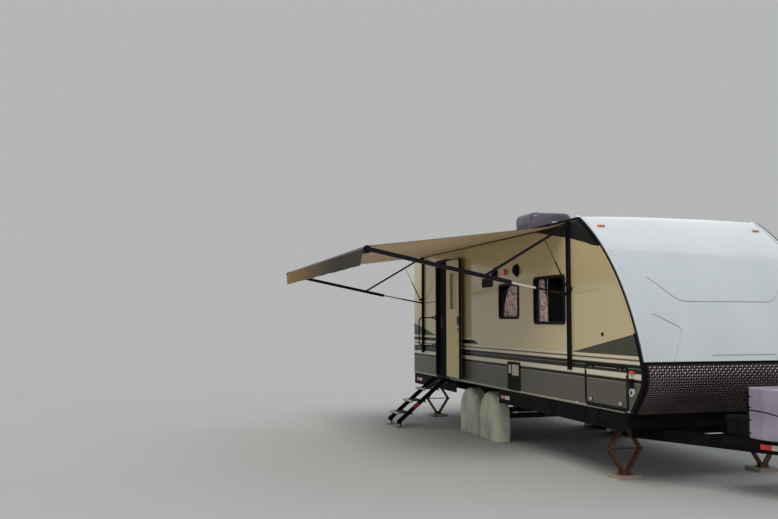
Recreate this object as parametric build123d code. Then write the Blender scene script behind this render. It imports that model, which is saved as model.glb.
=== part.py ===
# Travel trailer of laminated panels on a tandem-axle steel chassis, parked on its tongue jack
# with its awning out, its entry door folded back and its stair down.
# Millimetres. +X points forward, +Y to the left (road side) and +Z up. The origin is on the
# ground under the tongue jack, on the centreline, so the kerb side with the door has y below 0.
import os
from math import acos, atan2, cos, degrees, hypot, radians, sin, sqrt, tan

from build123d import *

# Body shell
body_width = 2440
body_length = 7620
nose_x = -1020
wall_z = 770
roof_edge_z = 2925
roof_crown_z = 2962
outline_top_z = 2970
wall_thick = 50
roof_thick = 75
floor_thick = 80
rear_corner_radius = 300
crest_radius = 565
crest_turn = 32
face_radius = 2820
face_turn = 42
knee_radius = 347
knee_turn = 53.5
guard_top_z = 1300
groove_width = 16
groove_depth = 8
half_width = body_width / 2
inner_half = half_width - wall_thick
rear_x = nose_x - body_length
nose_reach = (crest_radius * sin(radians(crest_turn))
              + face_radius * (sin(radians(crest_turn + face_turn)) - sin(radians(crest_turn)))
              + knee_radius * (1 - sin(radians(crest_turn + face_turn))))
crest_x = nose_x - nose_reach
rail_y = half_width - 320
wheel_y = half_width - 135

# Mouldings and rails along the shell's edges
moulding_width = 45
moulding_thick = 5
gutter_height = 30
gutter_thick = 8
skirt_trim_height = 22

# Windows: side (-1 kerb, 1 road), rear edge, front edge, bottom, top, mullion (0 for none)
windows = [
    (-1, -3520, -2660, 1680, 2280, -3104),
    (-1, -4650, -3980, 1747, 2236, 0),
    (1, -3400, -2700, 1747, 2236, 0),
    (1, -5900, -4700, 1500, 2236, -5300),
    (1, rear_x + 440, rear_x + 840, 1900, 2236, 0),
]
window_radius = 60
frame_width = 34
frame_proud = 12
frame_sleeve = 14
mullion_width = 26
glass_thick = 6

# Curtains: rear edge, front edge, bottom, top, on the kerb side
curtains = [
    (-3500, -3240, 1650, 2290),
    (-4440, -3990, 1720, 2250),
]
curtain_thick = 24
curtain_track = 30
curtain_pleat = 65

# Entry door
door_x0 = -7380
door_x1 = -6680
door_z0 = 790
door_z1 = 2725
door_radius = 60
door_sleeve = 20
door_flange = 25
flange_proud = 6
door_gap = 5
leaf_thick = 35
skin_thick = 5
skin_lap = 12
door_hinge_out = 28
door_hinge_x = door_x1 + 4
door_open = 178
door_window_width = 300
door_window_z0 = 1910
door_window_z1 = 2490
hinge_pin_radius = 3.5
hinge_knuckle_radius = 8
hinge_heights = [950, 1750, 2560]
running_gap = 0.1

# Screen door
screen_thick = 16
screen_stile = 38
screen_panel_z0 = 1560
screen_panel_z1 = 1830

# Grab handle beside the door
grab_x = -7440
grab_out = 42
grab_reach = 250
grab_z0 = 1300
grab_z1 = 1775
grab_radius = 11
grab_bend = 60

# Entry stair
stair_width = 540
stair_shift = 35
stair_pivot_out = 70
stair_pivot_z = 745
stair_run = 770
stair_foot_z = 95
tread_heights = [200, 390, 580]
tread_depth = 240
tread_thick = 28
stringer_depth = 70
stringer_thick = 6
board_thick = 18

# Luggage doors: side, rear edge, front edge, bottom, top
hatches = [
    (-1, -2193, -1332, 810, 1230),
    (1, -2193, -1332, 810, 1230),
]
hatch_radius = 45
hatch_flange = 24
hatch_thick = 40
hatch_hinge_out = 12
hatch_hinge_in = 120
hatch_knuckle = 6
hatch_pin = 2

# Chassis
rail_z = 590
rail_flange = 60
rail_web = 6
rail_flange_thick = 8
rail_front_x = -1640
frame_rail_depth = 125
frame_rail_width = 50
tip_x = 60
tip_y = 85
skirt_thick = 4
skirt_low_z = 575
skirt_inset = 8
wheel_bay_x0 = -6420
wheel_bay_x1 = -4700
outrigger_thick = 8

# Running gear
axle_x = [-5150, -5970]
tyre_radius = 335
tyre_width = 205
rim_radius = 190
axle_radius = 38
spindle_radius = 20
axle_reach = wheel_y - 135
spindle_reach = wheel_y - 25
hub_radius = 62
spring_half = 330
spring_eye_x = [axle_x[0] + spring_half, axle_x[0] - spring_half,
                axle_x[1] + spring_half, axle_x[1] - spring_half]
cover_gap = 9
cover_thick = 6

# Hitch, tongue jack, stores on the frame
ball_x = 250
socket_radius = 29.75
socket_depth = 50
socket_mouth_z = 470
jack_tube_radius = 28.5
jack_top_z = 1010
foot_radius = 75

# Awning: places in the planes of the two wall channels, as distance out from the wall and height
channel_x = [-2545, rear_x + 574]
channel_width = 60
channel_depth = 35
channel_z0 = 1155
channel_z1 = 2890
pivot_out = 55
top_pivot_z = 2840
low_pivot_z = 2040
knee_out = 1085
knee_z = 2235
main_slope = 11.5
main_reach = 1393
strut_low_z = 2100
strut_on_arm = 330
arm_layer = 26
strut_layer = 45
link_thick = 12
main_thick = 24
arm_depth = 30
main_depth = 48
pin_radius = 6
roller_radius = 40
rail_bead_z = 2865
rail_out = 20
fabric_thick = 3
fabric_gap = 80
valance_drop = 182


def slab(x0, x1, y0, y1, z0, z1):
    """Box between two opposite corners."""
    middle = Pos((x0 + x1) / 2, (y0 + y1) / 2, (z0 + z1) / 2)
    return middle * Box(abs(x1 - x0), abs(y1 - y0), abs(z1 - z0))


def rounded(x0, x1, z0, z1, radius):
    """Rounded rectangle between two corners of a drawing plane."""
    return Pos((x0 + x1) / 2, (z0 + z1) / 2) * RectangleRounded(x1 - x0, z1 - z0, radius)


def plain(x0, x1, z0, z1):
    """Rectangle between two corners of a drawing plane."""
    return Pos((x0 + x1) / 2, (z0 + z1) / 2) * Rectangle(x1 - x0, z1 - z0)


def across(outline, y0, y1):
    """Outline drawn in X and Z, as a solid from y0 to y1."""
    low, high = min(y0, y1), max(y0, y1)
    return extrude(Pos(0, low, 0) * (Plane.XZ * outline), amount=high - low, dir=(0, 1, 0))


def along(outline, x0, x1):
    """Outline drawn in Y and Z, as a solid from x0 to x1."""
    low, high = min(x0, x1), max(x0, x1)
    return extrude(Pos(low, 0, 0) * (Plane.YZ * outline), amount=high - low, dir=(1, 0, 0))


def upward(outline, z0, z1):
    """Outline drawn in X and Y, as a solid from z0 to z1."""
    return extrude(Pos(0, 0, z0) * outline, amount=z1 - z0, dir=(0, 0, 1))


def rod(start, end, radius):
    """Round bar between two points."""
    start, end = Vector(*start), Vector(*end)
    length = (end - start).length
    turned = Plane(origin=start, z_dir=end - start)
    return turned * Cylinder(radius, length, align=(Align.CENTER, Align.CENTER, Align.MIN))


def about(shape, point, axis, angle):
    """Shape turned about an axis through a point."""
    return shape.rotate(Axis(point, axis), angle)


def group(*shapes):
    """Solids that share a node without touching."""
    return Compound(children=[solid for shape in shapes for solid in shape.solids()])


def face_y(side, out):
    """Y of a plane that stands out from a side wall."""
    return side * (half_width + out)


def body_outline(inset):
    """Side view of the shell, moved inwards by inset except along its open bottom."""
    top = outline_top_z - inset
    back = rear_x + inset
    crest = JernArc((crest_x, top), (1, 0), crest_radius - inset, -crest_turn)
    face = JernArc(crest @ 1, crest % 1, face_radius - inset, -face_turn)
    knee = JernArc(face @ 1, face % 1, knee_radius - inset, -knee_turn)
    fall = ((knee @ 1).Y - wall_z) / -(knee % 1).Y
    toe = knee @ 1 + (knee % 1) * fall
    corner_radius = rear_corner_radius - inset
    corner = JernArc((back, top - corner_radius), (0, 1), corner_radius, -90)
    edges = [crest, face, knee]
    edges.append(Line(knee @ 1, toe))
    edges.append(Line(toe, (back, wall_z)))
    edges.append(Line((back, wall_z), corner @ 0))
    edges.append(corner)
    edges.append(Line(corner @ 1, crest @ 0))
    return make_face(edges)


def nose_at(z):
    """X of the shell's front at a height, and its slope from the horizontal in degrees."""
    drop = outline_top_z - z
    x, turned = crest_x, 0.0
    for radius, turn in ((crest_radius, crest_turn), (face_radius, face_turn), (knee_radius, knee_turn)):
        start = cos(radians(turned))
        full = radius * (start - cos(radians(turned + turn)))
        if drop <= full:
            heading = degrees(acos(start - drop / radius))
            return x + radius * (sin(radians(heading)) - sin(radians(turned))), heading
        x += radius * (sin(radians(turned + turn)) - sin(radians(turned)))
        drop -= full
        turned += turn
    return x + drop / tan(radians(turned)), turned


def crown_solid():
    """Everything under the crowned roof surface."""
    crown = ThreePointArc((-half_width, roof_edge_z), (0, roof_crown_z), (half_width, roof_edge_z))
    sides = Polyline((half_width, roof_edge_z), (half_width, 0), (-half_width, 0), (-half_width, roof_edge_z))
    return along(make_face([crown] + sides.edges()), rear_x - 10, nose_x + 10)


full_outline = body_outline(0)
under_crown = crown_solid()
envelope = across(full_outline, -half_width, half_width) & under_crown
deck_z = wall_z + floor_thick
rear_split_z = outline_top_z - rear_corner_radius


# Side walls, each one panel from nose to tail with its windows, doors and hatches cut
def side_wall(side):
    wall = across(full_outline, side * inner_half, side * half_width) & under_crown
    cuts = []
    for window_side, x0, x1, z0, z1, mullion in windows:
        if window_side == side:
            hole = frame_width - frame_sleeve
            cuts.append(rounded(x0 + hole, x1 - hole, z0 + hole, z1 - hole, window_radius - hole))
    for hatch_side, x0, x1, z0, z1 in hatches:
        if hatch_side == side:
            cuts.append(rounded(x0, x1, z0, z1, hatch_radius))
    if side < 0:
        cuts.append(rounded(door_x0, door_x1, door_z0, door_z1, door_radius))
    for cut in cuts:
        wall -= across(cut, side * (inner_half - 5), side * (half_width + 5))
    return wall


# Moulded cap with its curved grooves, and the plated guard below it
cap_grooves = [
    [(-870, 2190), (-590, 1925), (590, 1925), (870, 2190)],
    [(-960, 1795), (-665, 1640), (-860, 1290)],
    [(960, 1795), (665, 1640), (860, 1290)],
]
groove_bends = [260, 60, 60]
strip_half = 390
strip_low_z = 1312
strip_high_z = 1376


def front_ring(low_z, high_z):
    ring = full_outline - body_outline(wall_thick)
    ring &= plain(crest_x, nose_x + 20, low_z, high_z)
    return across(ring, -inner_half, inner_half) & under_crown


def front_cap():
    cap = front_ring(guard_top_z, outline_top_z + 20)
    skin = across(full_outline - body_outline(groove_depth), -inner_half, inner_half)
    for points, bend in zip(cap_grooves, groove_bends):
        path = FilletPolyline(*points, radius=bend)
        cut = along(trace(path, groove_width), nose_x - 900, nose_x + 20)
        cap -= cut & skin
    strip = plain(-strip_half, strip_half, strip_low_z, strip_high_z)
    cap -= along(strip, nose_x - 200, nose_x + 20) & skin
    return cap


def roof_panel():
    shell = full_outline - body_outline(roof_thick)
    shell &= plain(rear_x, crest_x, rear_split_z, outline_top_z + 20)
    return across(shell, -inner_half, inner_half) & under_crown


def rear_wall():
    return slab(rear_x, rear_x + wall_thick, -inner_half, inner_half, wall_z, rear_split_z)


# Floor with the luggage bay's bulkhead and the deck over it
bay_x = -2260
bay_deck_z = 1270
bay_panel = 18


def floor_panel():
    toe_x, _ = nose_at(wall_z)
    inner_toe = toe_x - wall_thick / sin(radians(crest_turn + face_turn + knee_turn))
    floor = slab(rear_x + wall_thick, inner_toe, -inner_half, inner_half, wall_z, deck_z)
    bulkhead = slab(bay_x - bay_panel, bay_x, -inner_half, inner_half, deck_z, bay_deck_z)
    front, _ = nose_at(bay_deck_z)
    deck = slab(bay_x - bay_panel, front - wall_thick - 8, -inner_half, inner_half,
                bay_deck_z - bay_panel, bay_deck_z)
    return floor + bulkhead + deck


# Corner mouldings, seam strip, gutters, awning rail and bottom trims
def mouldings():
    start_x = crest_x + sqrt(crest_radius ** 2 - (crest_radius - outline_top_z + roof_edge_z) ** 2)
    region = plain(start_x, nose_x + 20, wall_z, roof_edge_z)
    lap = (body_outline(-moulding_thick) - full_outline) & region
    leg = (full_outline - body_outline(moulding_width)) & region
    pieces = []
    for side in (-1, 1):
        edge = side * (half_width + moulding_thick)
        shape = across(lap, side * (half_width - moulding_width), edge)
        shape += across(leg, side * half_width, edge)
        pieces.append(shape)
    seam = (body_outline(-moulding_thick) - full_outline)
    seam_x, _ = nose_at(guard_top_z)
    seam &= plain(seam_x - 60, seam_x + 40, guard_top_z - 12, guard_top_z + 12)
    pieces.append(across(seam, -half_width + moulding_width + 1, half_width - moulding_width - 1))
    for side in (-1, 1):
        gutter = plain(rear_x + rear_corner_radius, start_x - 10,
                       roof_edge_z - gutter_height - 2, roof_edge_z - 2)
        pieces.append(across(gutter, face_y(side, 0), face_y(side, gutter_thick)))
        toe_x, _ = nose_at(wall_z + skirt_trim_height)
        for x0, x1 in trim_runs(side, toe_x - moulding_width - 30):
            trim = plain(x0, x1, wall_z, wall_z + skirt_trim_height - 8)
            pieces.append(across(trim, face_y(side, 0), face_y(side, moulding_thick)))
    pieces.append(awning_rail())
    return group(*pieces)


def trim_runs(side, front_x):
    """Stretches of the bottom trim, broken at the entry door."""
    if side > 0:
        return [(rear_x, front_x)]
    return [(rear_x, door_x0 - door_flange - 5), (door_x1 + door_flange + 5, front_x)]


def awning_rail():
    bead_out = rail_out - 9
    profile = Pos(-half_width - rail_out / 2, rail_bead_z) * Rectangle(rail_out, 24)
    profile -= Pos(-half_width - bead_out, rail_bead_z) * Circle(6)
    profile -= plain(-half_width - rail_out, -half_width - bead_out, rail_bead_z - 2.5, rail_bead_z + 2.5)
    return along(profile, channel_x[1] + channel_width / 2 + 1, channel_x[0] - channel_width / 2 - 1)


# Window frames, glass and curtains
def window_frame(side, x0, x1, z0, z1, mullion):
    hole = frame_width - frame_sleeve
    radius = window_radius - frame_width
    clear = rounded(x0 + frame_width, x1 - frame_width, z0 + frame_width, z1 - frame_width, radius)
    flange = rounded(x0, x1, z0, z1, window_radius) - clear
    sleeve = rounded(x0 + hole, x1 - hole, z0 + hole, z1 - hole, window_radius - hole) - clear
    frame = across(flange, face_y(side, 0), face_y(side, frame_proud))
    frame += across(sleeve, face_y(side, -wall_thick), face_y(side, 0))
    if mullion:
        bar = plain(mullion - mullion_width / 2, mullion + mullion_width / 2,
                    z0 + frame_width - 2, z1 - frame_width + 2)
        frame += across(bar, face_y(side, -12), face_y(side, frame_proud - 3))
    return frame


def window_pane(side, x0, x1, z0, z1, mullion):
    radius = window_radius - frame_width
    clear = rounded(x0 + frame_width, x1 - frame_width, z0 + frame_width, z1 - frame_width, radius)
    if mullion:
        clear -= plain(mullion - mullion_width / 2, mullion + mullion_width / 2, z0, z1)
    return across(clear, face_y(side, -glass_thick - 2), face_y(side, -2))


def curtain(x0, x1, z0, z1):
    """Pleated drape under its track, on the inner face of the kerb-side wall."""
    wall_y = -inner_half
    track = slab(x0 - 15, x1 + 15, wall_y, wall_y + curtain_track, z1, z1 + curtain_track)
    count = max(2, round((x1 - x0) / curtain_pleat))
    pitch = (x1 - x0) / count
    points = [(x0 + pitch * step / 2, wall_y + 14 + (step % 2) * 10) for step in range(2 * count + 1)]
    drape = trace(Polyline(*points), curtain_thick / 4)
    return track + upward(drape, z0, z1 + 1)


# Entry door frame with its hinge arms, seated in the wall's opening
def door_frame():
    hole = rounded(door_x0, door_x1, door_z0, door_z1, door_radius)
    clear = rounded(door_x0 + door_sleeve, door_x1 - door_sleeve, door_z0 + door_sleeve,
                    door_z1 - door_sleeve, door_radius - door_sleeve)
    outer = rounded(door_x0 - door_flange, door_x1 + door_flange, wall_z + 2,
                    door_z1 + door_flange, door_radius + door_flange)
    frame = across(hole - clear, face_y(-1, -wall_thick), face_y(-1, 0))
    frame += across(outer - clear, face_y(-1, 0), face_y(-1, flange_proud))
    axis_y = face_y(-1, door_hinge_out)
    for z in hinge_heights:
        arm = slab(door_hinge_x - 6, door_hinge_x + 6, axis_y, face_y(-1, flange_proud), z, z + 30)
        knuckle = rod((door_hinge_x, axis_y, z), (door_hinge_x, axis_y, z + 30), hinge_knuckle_radius)
        pin = rod((door_hinge_x, axis_y, z + 29), (door_hinge_x, axis_y, z + 64), hinge_pin_radius)
        frame += arm + knuckle + pin
    jamb = clear & plain(jamb_x, door_x1, door_z0, door_z1)
    frame += across(jamb, screen_y0, screen_y1)
    return frame


leaf_x0 = door_x0 + door_sleeve + door_gap
leaf_x1 = door_x1 - door_sleeve - door_gap
leaf_z0 = door_z0 + door_sleeve + door_gap
leaf_z1 = door_z1 - door_sleeve - door_gap
leaf_radius = door_radius - door_sleeve - door_gap
skin_in = flange_proud + door_gap
skin_out = skin_in + skin_thick
leaf_window_x1 = door_hinge_x - 230
leaf_window_x0 = leaf_window_x1 - door_window_width


def opened(shape):
    """Entry door piece, drawn shut, folded back to where it stands."""
    return about(shape, (door_hinge_x, face_y(-1, door_hinge_out), 0), (0, 0, 1), door_open)


def entry_door():
    lap = skin_lap + door_gap
    skin = rounded(leaf_x0 - lap, leaf_x1 + lap, leaf_z0 - lap, leaf_z1 + lap, leaf_radius + lap)
    core = rounded(leaf_x0, leaf_x1, leaf_z0, leaf_z1, leaf_radius)
    pane = rounded(leaf_window_x0, leaf_window_x1, door_window_z0, door_window_z1, 50)
    leaf = across(skin, face_y(-1, skin_in), face_y(-1, skin_out))
    leaf += across(core, face_y(-1, skin_in - leaf_thick), face_y(-1, skin_in))
    rim = rounded(leaf_window_x0 - 22, leaf_window_x1 + 22, door_window_z0 - 22, door_window_z1 + 22, 70)
    leaf += across(rim, face_y(-1, skin_out), face_y(-1, skin_out + 5))
    leaf += across(rim, face_y(-1, skin_in - leaf_thick - 2), face_y(-1, skin_in - leaf_thick))
    leaf -= across(pane, face_y(-1, -wall_thick), face_y(-1, 40))
    return opened(leaf)


def door_window():
    pane = rounded(leaf_window_x0, leaf_window_x1, door_window_z0, door_window_z1, 50)
    return opened(across(pane, face_y(-1, skin_in - 12), face_y(-1, skin_in - 12 + glass_thick)))


latch_x = leaf_x0 + 55
latch_z = 1670


def door_hardware():
    """Paddle latch, inner lever, bolt and hinge straps."""
    bezel = across(rounded(latch_x - 45, latch_x + 45, latch_z - 70, latch_z + 70, 18),
                   face_y(-1, skin_out), face_y(-1, skin_out + 10))
    paddle = across(rounded(latch_x - 32, latch_x + 30, latch_z - 40, latch_z + 30, 12),
                    face_y(-1, skin_out + 10), face_y(-1, skin_out + 20))
    inner_y = face_y(-1, skin_in - leaf_thick)
    knob = rod((latch_x, inner_y, latch_z), (latch_x, inner_y + 5, latch_z), 26)
    bolt = rod((latch_x, inner_y, latch_z - 85), (latch_x, inner_y + 5, latch_z - 85), 22)
    pieces = [bezel + paddle, knob, bolt]
    axis_y = face_y(-1, door_hinge_out)
    for z in hinge_heights:
        low, high = z + 31, z + 61
        strap = slab(leaf_x1 - 30, door_hinge_x, face_y(-1, skin_out + 8), face_y(-1, skin_out), low, high)
        knuckle = rod((door_hinge_x, axis_y, low), (door_hinge_x, axis_y, high), hinge_knuckle_radius)
        bore = rod((door_hinge_x, axis_y, low - 5), (door_hinge_x, axis_y, high + 5),
                   hinge_pin_radius + running_gap)
        pieces.append(strap + knuckle - bore)
    return opened(group(*pieces))


# Screen door inside the same frame, with rounded hinge stile, mesh and sliding latch panel
screen_y1 = -half_width + 46
screen_y0 = screen_y1 - screen_thick
screen_axis_y = (screen_y0 + screen_y1) / 2
jamb_x = door_x1 - door_radius
screen_axis_x = jamb_x - door_gap - screen_thick / 2


def screen_door():
    front = screen_axis_x
    outer = rounded(leaf_x0, front + 2 * leaf_radius, leaf_z0, leaf_z1, leaf_radius)
    outer &= plain(leaf_x0, front, leaf_z0, leaf_z1)
    inner = plain(leaf_x0 + screen_stile, front - screen_stile + screen_thick / 2,
                  leaf_z0 + 2 * screen_stile, leaf_z1 - screen_stile)
    door = across(outer - inner, screen_y0, screen_y1)
    door += rod((front, screen_axis_y, leaf_z0), (front, screen_axis_y, leaf_z1), screen_thick / 2)
    mesh = plain(leaf_x0 + 20, front - 20, leaf_z0 + 20, leaf_z1 - 20)
    door += across(mesh, screen_axis_y - 0.6, screen_axis_y + 0.6)
    panel = plain(leaf_x0 + screen_stile - 2, front - screen_stile + 12, screen_panel_z0, screen_panel_z1)
    door += across(panel, screen_axis_y - 5, screen_axis_y + 5)
    return door


# Swing-out grab handle and its wall brackets
def grab_handle():
    axis_y = face_y(-1, grab_out)
    end_y = axis_y - grab_reach
    path = FilletPolyline((grab_x, axis_y - 10, grab_z1), (grab_x, end_y, grab_z1),
                          (grab_x, end_y, grab_z0), (grab_x, axis_y - 10, grab_z0), radius=grab_bend)
    start = Plane(origin=(grab_x, axis_y - 10, grab_z1), z_dir=(0, -1, 0))
    handle = sweep(start * Circle(grab_radius), path=path)
    for z in (grab_z0, grab_z1):
        knuckle = rod((grab_x, axis_y, z - 14), (grab_x, axis_y, z + 14), 14)
        knuckle -= rod((grab_x, axis_y, z - 20), (grab_x, axis_y, z + 20), 5 + running_gap)
        handle += knuckle
    bore = rod((grab_x, axis_y, grab_z0 - 30), (grab_x, axis_y, grab_z0 + 30), 5 + running_gap)
    bore += rod((grab_x, axis_y, grab_z1 - 30), (grab_x, axis_y, grab_z1 + 30), 5 + running_gap)
    return handle - bore


def grab_bracket(z):
    axis_y = face_y(-1, grab_out)
    plate = across(rounded(grab_x - 28, grab_x + 22, z - 40, z + 40, 10), face_y(-1, 0), face_y(-1, 6))
    bracket = plate
    for low in (z - 24, z + 16):
        bracket += slab(grab_x - 12, grab_x + 12, axis_y - 8, face_y(-1, 6), low, low + 8)
    return bracket + rod((grab_x, axis_y, z - 24), (grab_x, axis_y, z + 24), 5)


# Entry stair, hinged under the sill and standing on two boards
stair_mid_x = (door_x0 + door_x1) / 2 - stair_shift
stair_x0 = stair_mid_x - stair_width / 2
stair_x1 = stair_mid_x + stair_width / 2
pivot_y = face_y(-1, stair_pivot_out)
stair_end_y = pivot_y - stair_run
stair_slope = (stair_pivot_z - stair_foot_z) / stair_run
leg_y = stair_end_y + 25
leg_size = 26


def stringer(x):
    """Sloping side plate with its hinge eye and telescopic leg."""
    length = hypot(stair_run, stair_pivot_z - stair_foot_z)
    middle = Pos((pivot_y + stair_end_y) / 2, (stair_pivot_z + stair_foot_z) / 2)
    plate = middle * Rot(0, 0, degrees(atan2(stair_pivot_z - stair_foot_z, stair_run)))
    side = along(plate * SlotCenterToCenter(length, stringer_depth), x, x + stringer_thick)
    leg = slab(x, x + leg_size, leg_y - leg_size / 2, leg_y + leg_size / 2, board_thick + 34, stair_foot_z + 60)
    shank = slab(x + 4, x + leg_size - 4, leg_y - leg_size / 2 + 4, leg_y + leg_size / 2 - 4,
                 board_thick + 6, board_thick + 40)
    pad = slab(x - 18, x + leg_size + 18, leg_y - 32, leg_y + 32, board_thick, board_thick + 7)
    return side + leg + shank + pad


def entry_stair():
    stair = stringer(stair_x0) + stringer(stair_x1 - leg_size)
    for z in tread_heights:
        y = pivot_y - (stair_pivot_z - z) / stair_slope
        outer, inner = y - tread_depth * 0.54, y + tread_depth * 0.46
        tread = plain(outer, inner, z, z + tread_thick) - plain(outer + 4, inner - 4, z - 1, z + tread_thick - 4)
        tread += plain(outer - 3, outer + 20, z + tread_thick, z + tread_thick + 3)
        stair += along(tread, stair_x0 + stringer_thick - 1, stair_x1 - leg_size + 1)
    for x0, x1 in ((stair_x0, stair_x0 + stringer_thick), (stair_x1 - leg_size, stair_x1 - leg_size + stringer_thick)):
        stair -= rod((x0 - 1, pivot_y, stair_pivot_z), (x1 + 1, pivot_y, stair_pivot_z), 8 + running_gap)
    return stair


def stair_mount():
    """Plate under the sill with two ears and the hinge pin's stubs."""
    ear_y0, ear_y1 = pivot_y - 22, -half_width + skirt_inset
    back = slab(stair_x0 - 20, stair_x1 + 20, face_y(-1, -skirt_inset), face_y(-1, 0), 690, wall_z - 3)
    mount = back
    inner_x = stair_x1 - leg_size + stringer_thick
    for x0, pin_to in ((stair_x0 - 14, stair_x0 + stringer_thick), (inner_x + 5, inner_x - stringer_thick)):
        ear = slab(x0, x0 + 8, ear_y0, ear_y1, stair_pivot_z - 22, stair_pivot_z + 20)
        start = x0 + 4
        mount += ear + rod((start, pivot_y, stair_pivot_z), (pin_to, pivot_y, stair_pivot_z), 8)
    return mount


# Luggage doors, hinged along their top edges, and their flanges
def hatch_frame(side, x0, x1, z0, z1):
    outer = rounded(x0 - hatch_flange, x1 + hatch_flange, z0 - hatch_flange, z1 + hatch_flange,
                    hatch_radius + hatch_flange)
    hole = rounded(x0, x1, z0, z1, hatch_radius)
    frame = across(outer - hole, face_y(side, 0), face_y(side, flange_proud))
    y, z = face_y(side, hatch_hinge_out), z1 - door_gap
    for x in (x0 + hatch_hinge_in, x1 - hatch_hinge_in):
        for a, b in ((x - 61, x - 36), (x + 36, x + 61)):
            frame += slab(a, b, face_y(side, flange_proud), y, z, z + 15)
            frame += rod((a, y, z), (b, y, z), hatch_knuckle)
        frame += rod((x - 50, y, z), (x + 50, y, z), hatch_pin)
    return frame


def hatch_door(side, x0, x1, z0, z1):
    gap = door_gap
    panel = rounded(x0 + gap, x1 - gap, z0 + gap, z1 - gap, hatch_radius - gap)
    door = across(panel, face_y(side, flange_proud - 2 - hatch_thick), face_y(side, flange_proud - 2))
    y, z = face_y(side, hatch_hinge_out), z1 - gap
    for x in (x0 + hatch_hinge_in, x1 - hatch_hinge_in):
        latch = rounded(x - 32, x + 32, z0 + 34, z0 + 74, 8)
        door += across(latch, face_y(side, flange_proud - 2), face_y(side, flange_proud + 8))
        door += slab(x - 35, x + 35, face_y(side, flange_proud - 2), y, z - 22, z)
        door += rod((x - 35, y, z), (x + 35, y, z), hatch_knuckle)
        door -= rod((x - 40, y, z), (x + 40, y, z), hatch_pin + running_gap)
    return door


# Service hatch on the kerb side and the road side's vents
def louvred(side, x0, x1, z0, z1, count):
    """Flat vent cover with a row of slanting slats over a shallow tray."""
    cover = across(rounded(x0, x1, z0, z1, 20), face_y(side, 0), face_y(side, 10))
    pitch = (z1 - z0 - 60) / count
    for step in range(count):
        low = z0 + 30 + pitch * step
        cut = plain(x0 + 30, x1 - 30, low + pitch * 0.35, low + pitch)
        cover -= across(cut, face_y(side, 4), face_y(side, 20))
    return cover


def service_hatch():
    x0, x1, low, middle, high = -4360, -3956, 790, 975, 1170
    frame = across(rounded(x0, x1, low, high, 22), face_y(-1, 0), face_y(-1, 10))
    centre = (x0 + x1) / 2
    for a, b in ((x0 + 26, centre - 10), (centre + 10, x1 - 26)):
        frame -= across(rounded(a, b, middle + 10, high - 26, 8), face_y(-1, 3), face_y(-1, 20))
    pitch = 26
    for step in range(5):
        z = low + 34 + pitch * step
        frame -= across(plain(x0 + 30, x1 - 30, z, z + 12), face_y(-1, 4), face_y(-1, 20))
    return frame


# Chassis: rolled rails, cross-members, outriggers, header and bumper, welded in one
def chassis():
    flange = rail_flange / 2
    height = wall_z - rail_z
    frame = None
    for side in (-1, 1):
        y = side * rail_y
        beam = plain(y - flange, y + flange, rail_z, rail_z + rail_flange_thick)
        beam += plain(y - flange, y + flange, wall_z - rail_flange_thick, wall_z)
        beam += plain(y - rail_web / 2, y + rail_web / 2, rail_z, wall_z)
        rail = along(beam, rear_x - 20, rail_front_x)
        frame = rail if frame is None else frame + rail
        outer = side * (half_width - skirt_inset - skirt_thick)
        tall = Polyline((y, rail_z + 10), (outer, wall_z - 70), (outer, wall_z), (y, wall_z), (y, rail_z + 10))
        for x in outrigger_x:
            frame += along(make_face(tall.edges()), x, x + outrigger_thick)
    for x in cross_x:
        channel = plain(x, x + 5, rail_z + 40, wall_z) + plain(x, x + 45, wall_z - 5, wall_z)
        channel += plain(x, x + 45, rail_z + 40, rail_z + 45)
        frame += across(channel, -rail_y, rail_y)
    header = plain(header_x - 6, header_x, rail_z + 30, wall_z)
    frame += across(header, -half_width + skirt_inset + skirt_thick, half_width - skirt_inset - skirt_thick)
    for side in (-1, 1):
        y = side * rail_y
        frame += slab(header_x - 330, header_x - 3, y - 3, y + 3, rail_z, wall_z)
        bracket = plain(y - 30, y + 30, rail_z, wall_z)
        frame += along(bracket, rear_x - 26, rear_x - 14)
        frame += slab(rear_x - 100, rear_x - 14, y - 30, y + 30, rail_z, rail_z + 10)
    bumper = plain(rear_x - 110, rear_x - 10, rail_z - 100, rail_z) - plain(rear_x - 106, rear_x - 14, rail_z - 96, rail_z - 4)
    bumper_reach = rail_y + 110
    frame += across(bumper, -bumper_reach, bumper_reach)
    return frame


header_x = nose_at(wall_z)[0] - 90
outrigger_x = [rear_x + 240, -7620, -6560, -4580, -3600, -2600, -1900]
cross_x = [rear_x + 440, -7200, -6300, -5585, -4660, -3600, -2600]


def skirts():
    """Side valances under the walls, open around the wheels, with a sloping front edge."""
    pieces = []
    front_x = header_x - 6
    for side in (-1, 1):
        y0, y1 = face_y(side, -skirt_inset - skirt_thick), face_y(side, -skirt_inset)
        rear = plain(rear_x, wheel_bay_x0, skirt_low_z, wall_z)
        fore = Polyline((wheel_bay_x1, skirt_low_z), (front_x - 60, skirt_low_z), (front_x, wall_z - 60),
                        (front_x, wall_z), (wheel_bay_x1, wall_z), (wheel_bay_x1, skirt_low_z))
        pieces.append(across(rear, y0, y1))
        pieces.append(across(make_face(fore.edges()), y0, y1))
    return group(*pieces)


# Drawbar frame: two box rails from the coupler to under the main rails, with cross plates
def rail_line(side):
    """Start, end, angle and length of a drawbar rail's centreline."""
    start = (tip_x, side * tip_y)
    end = (rail_front_x - 120, side * rail_y)
    angle = degrees(atan2(end[1] - start[1], end[0] - start[0]))
    return start, end, angle, hypot(end[0] - start[0], end[1] - start[1])


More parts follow.
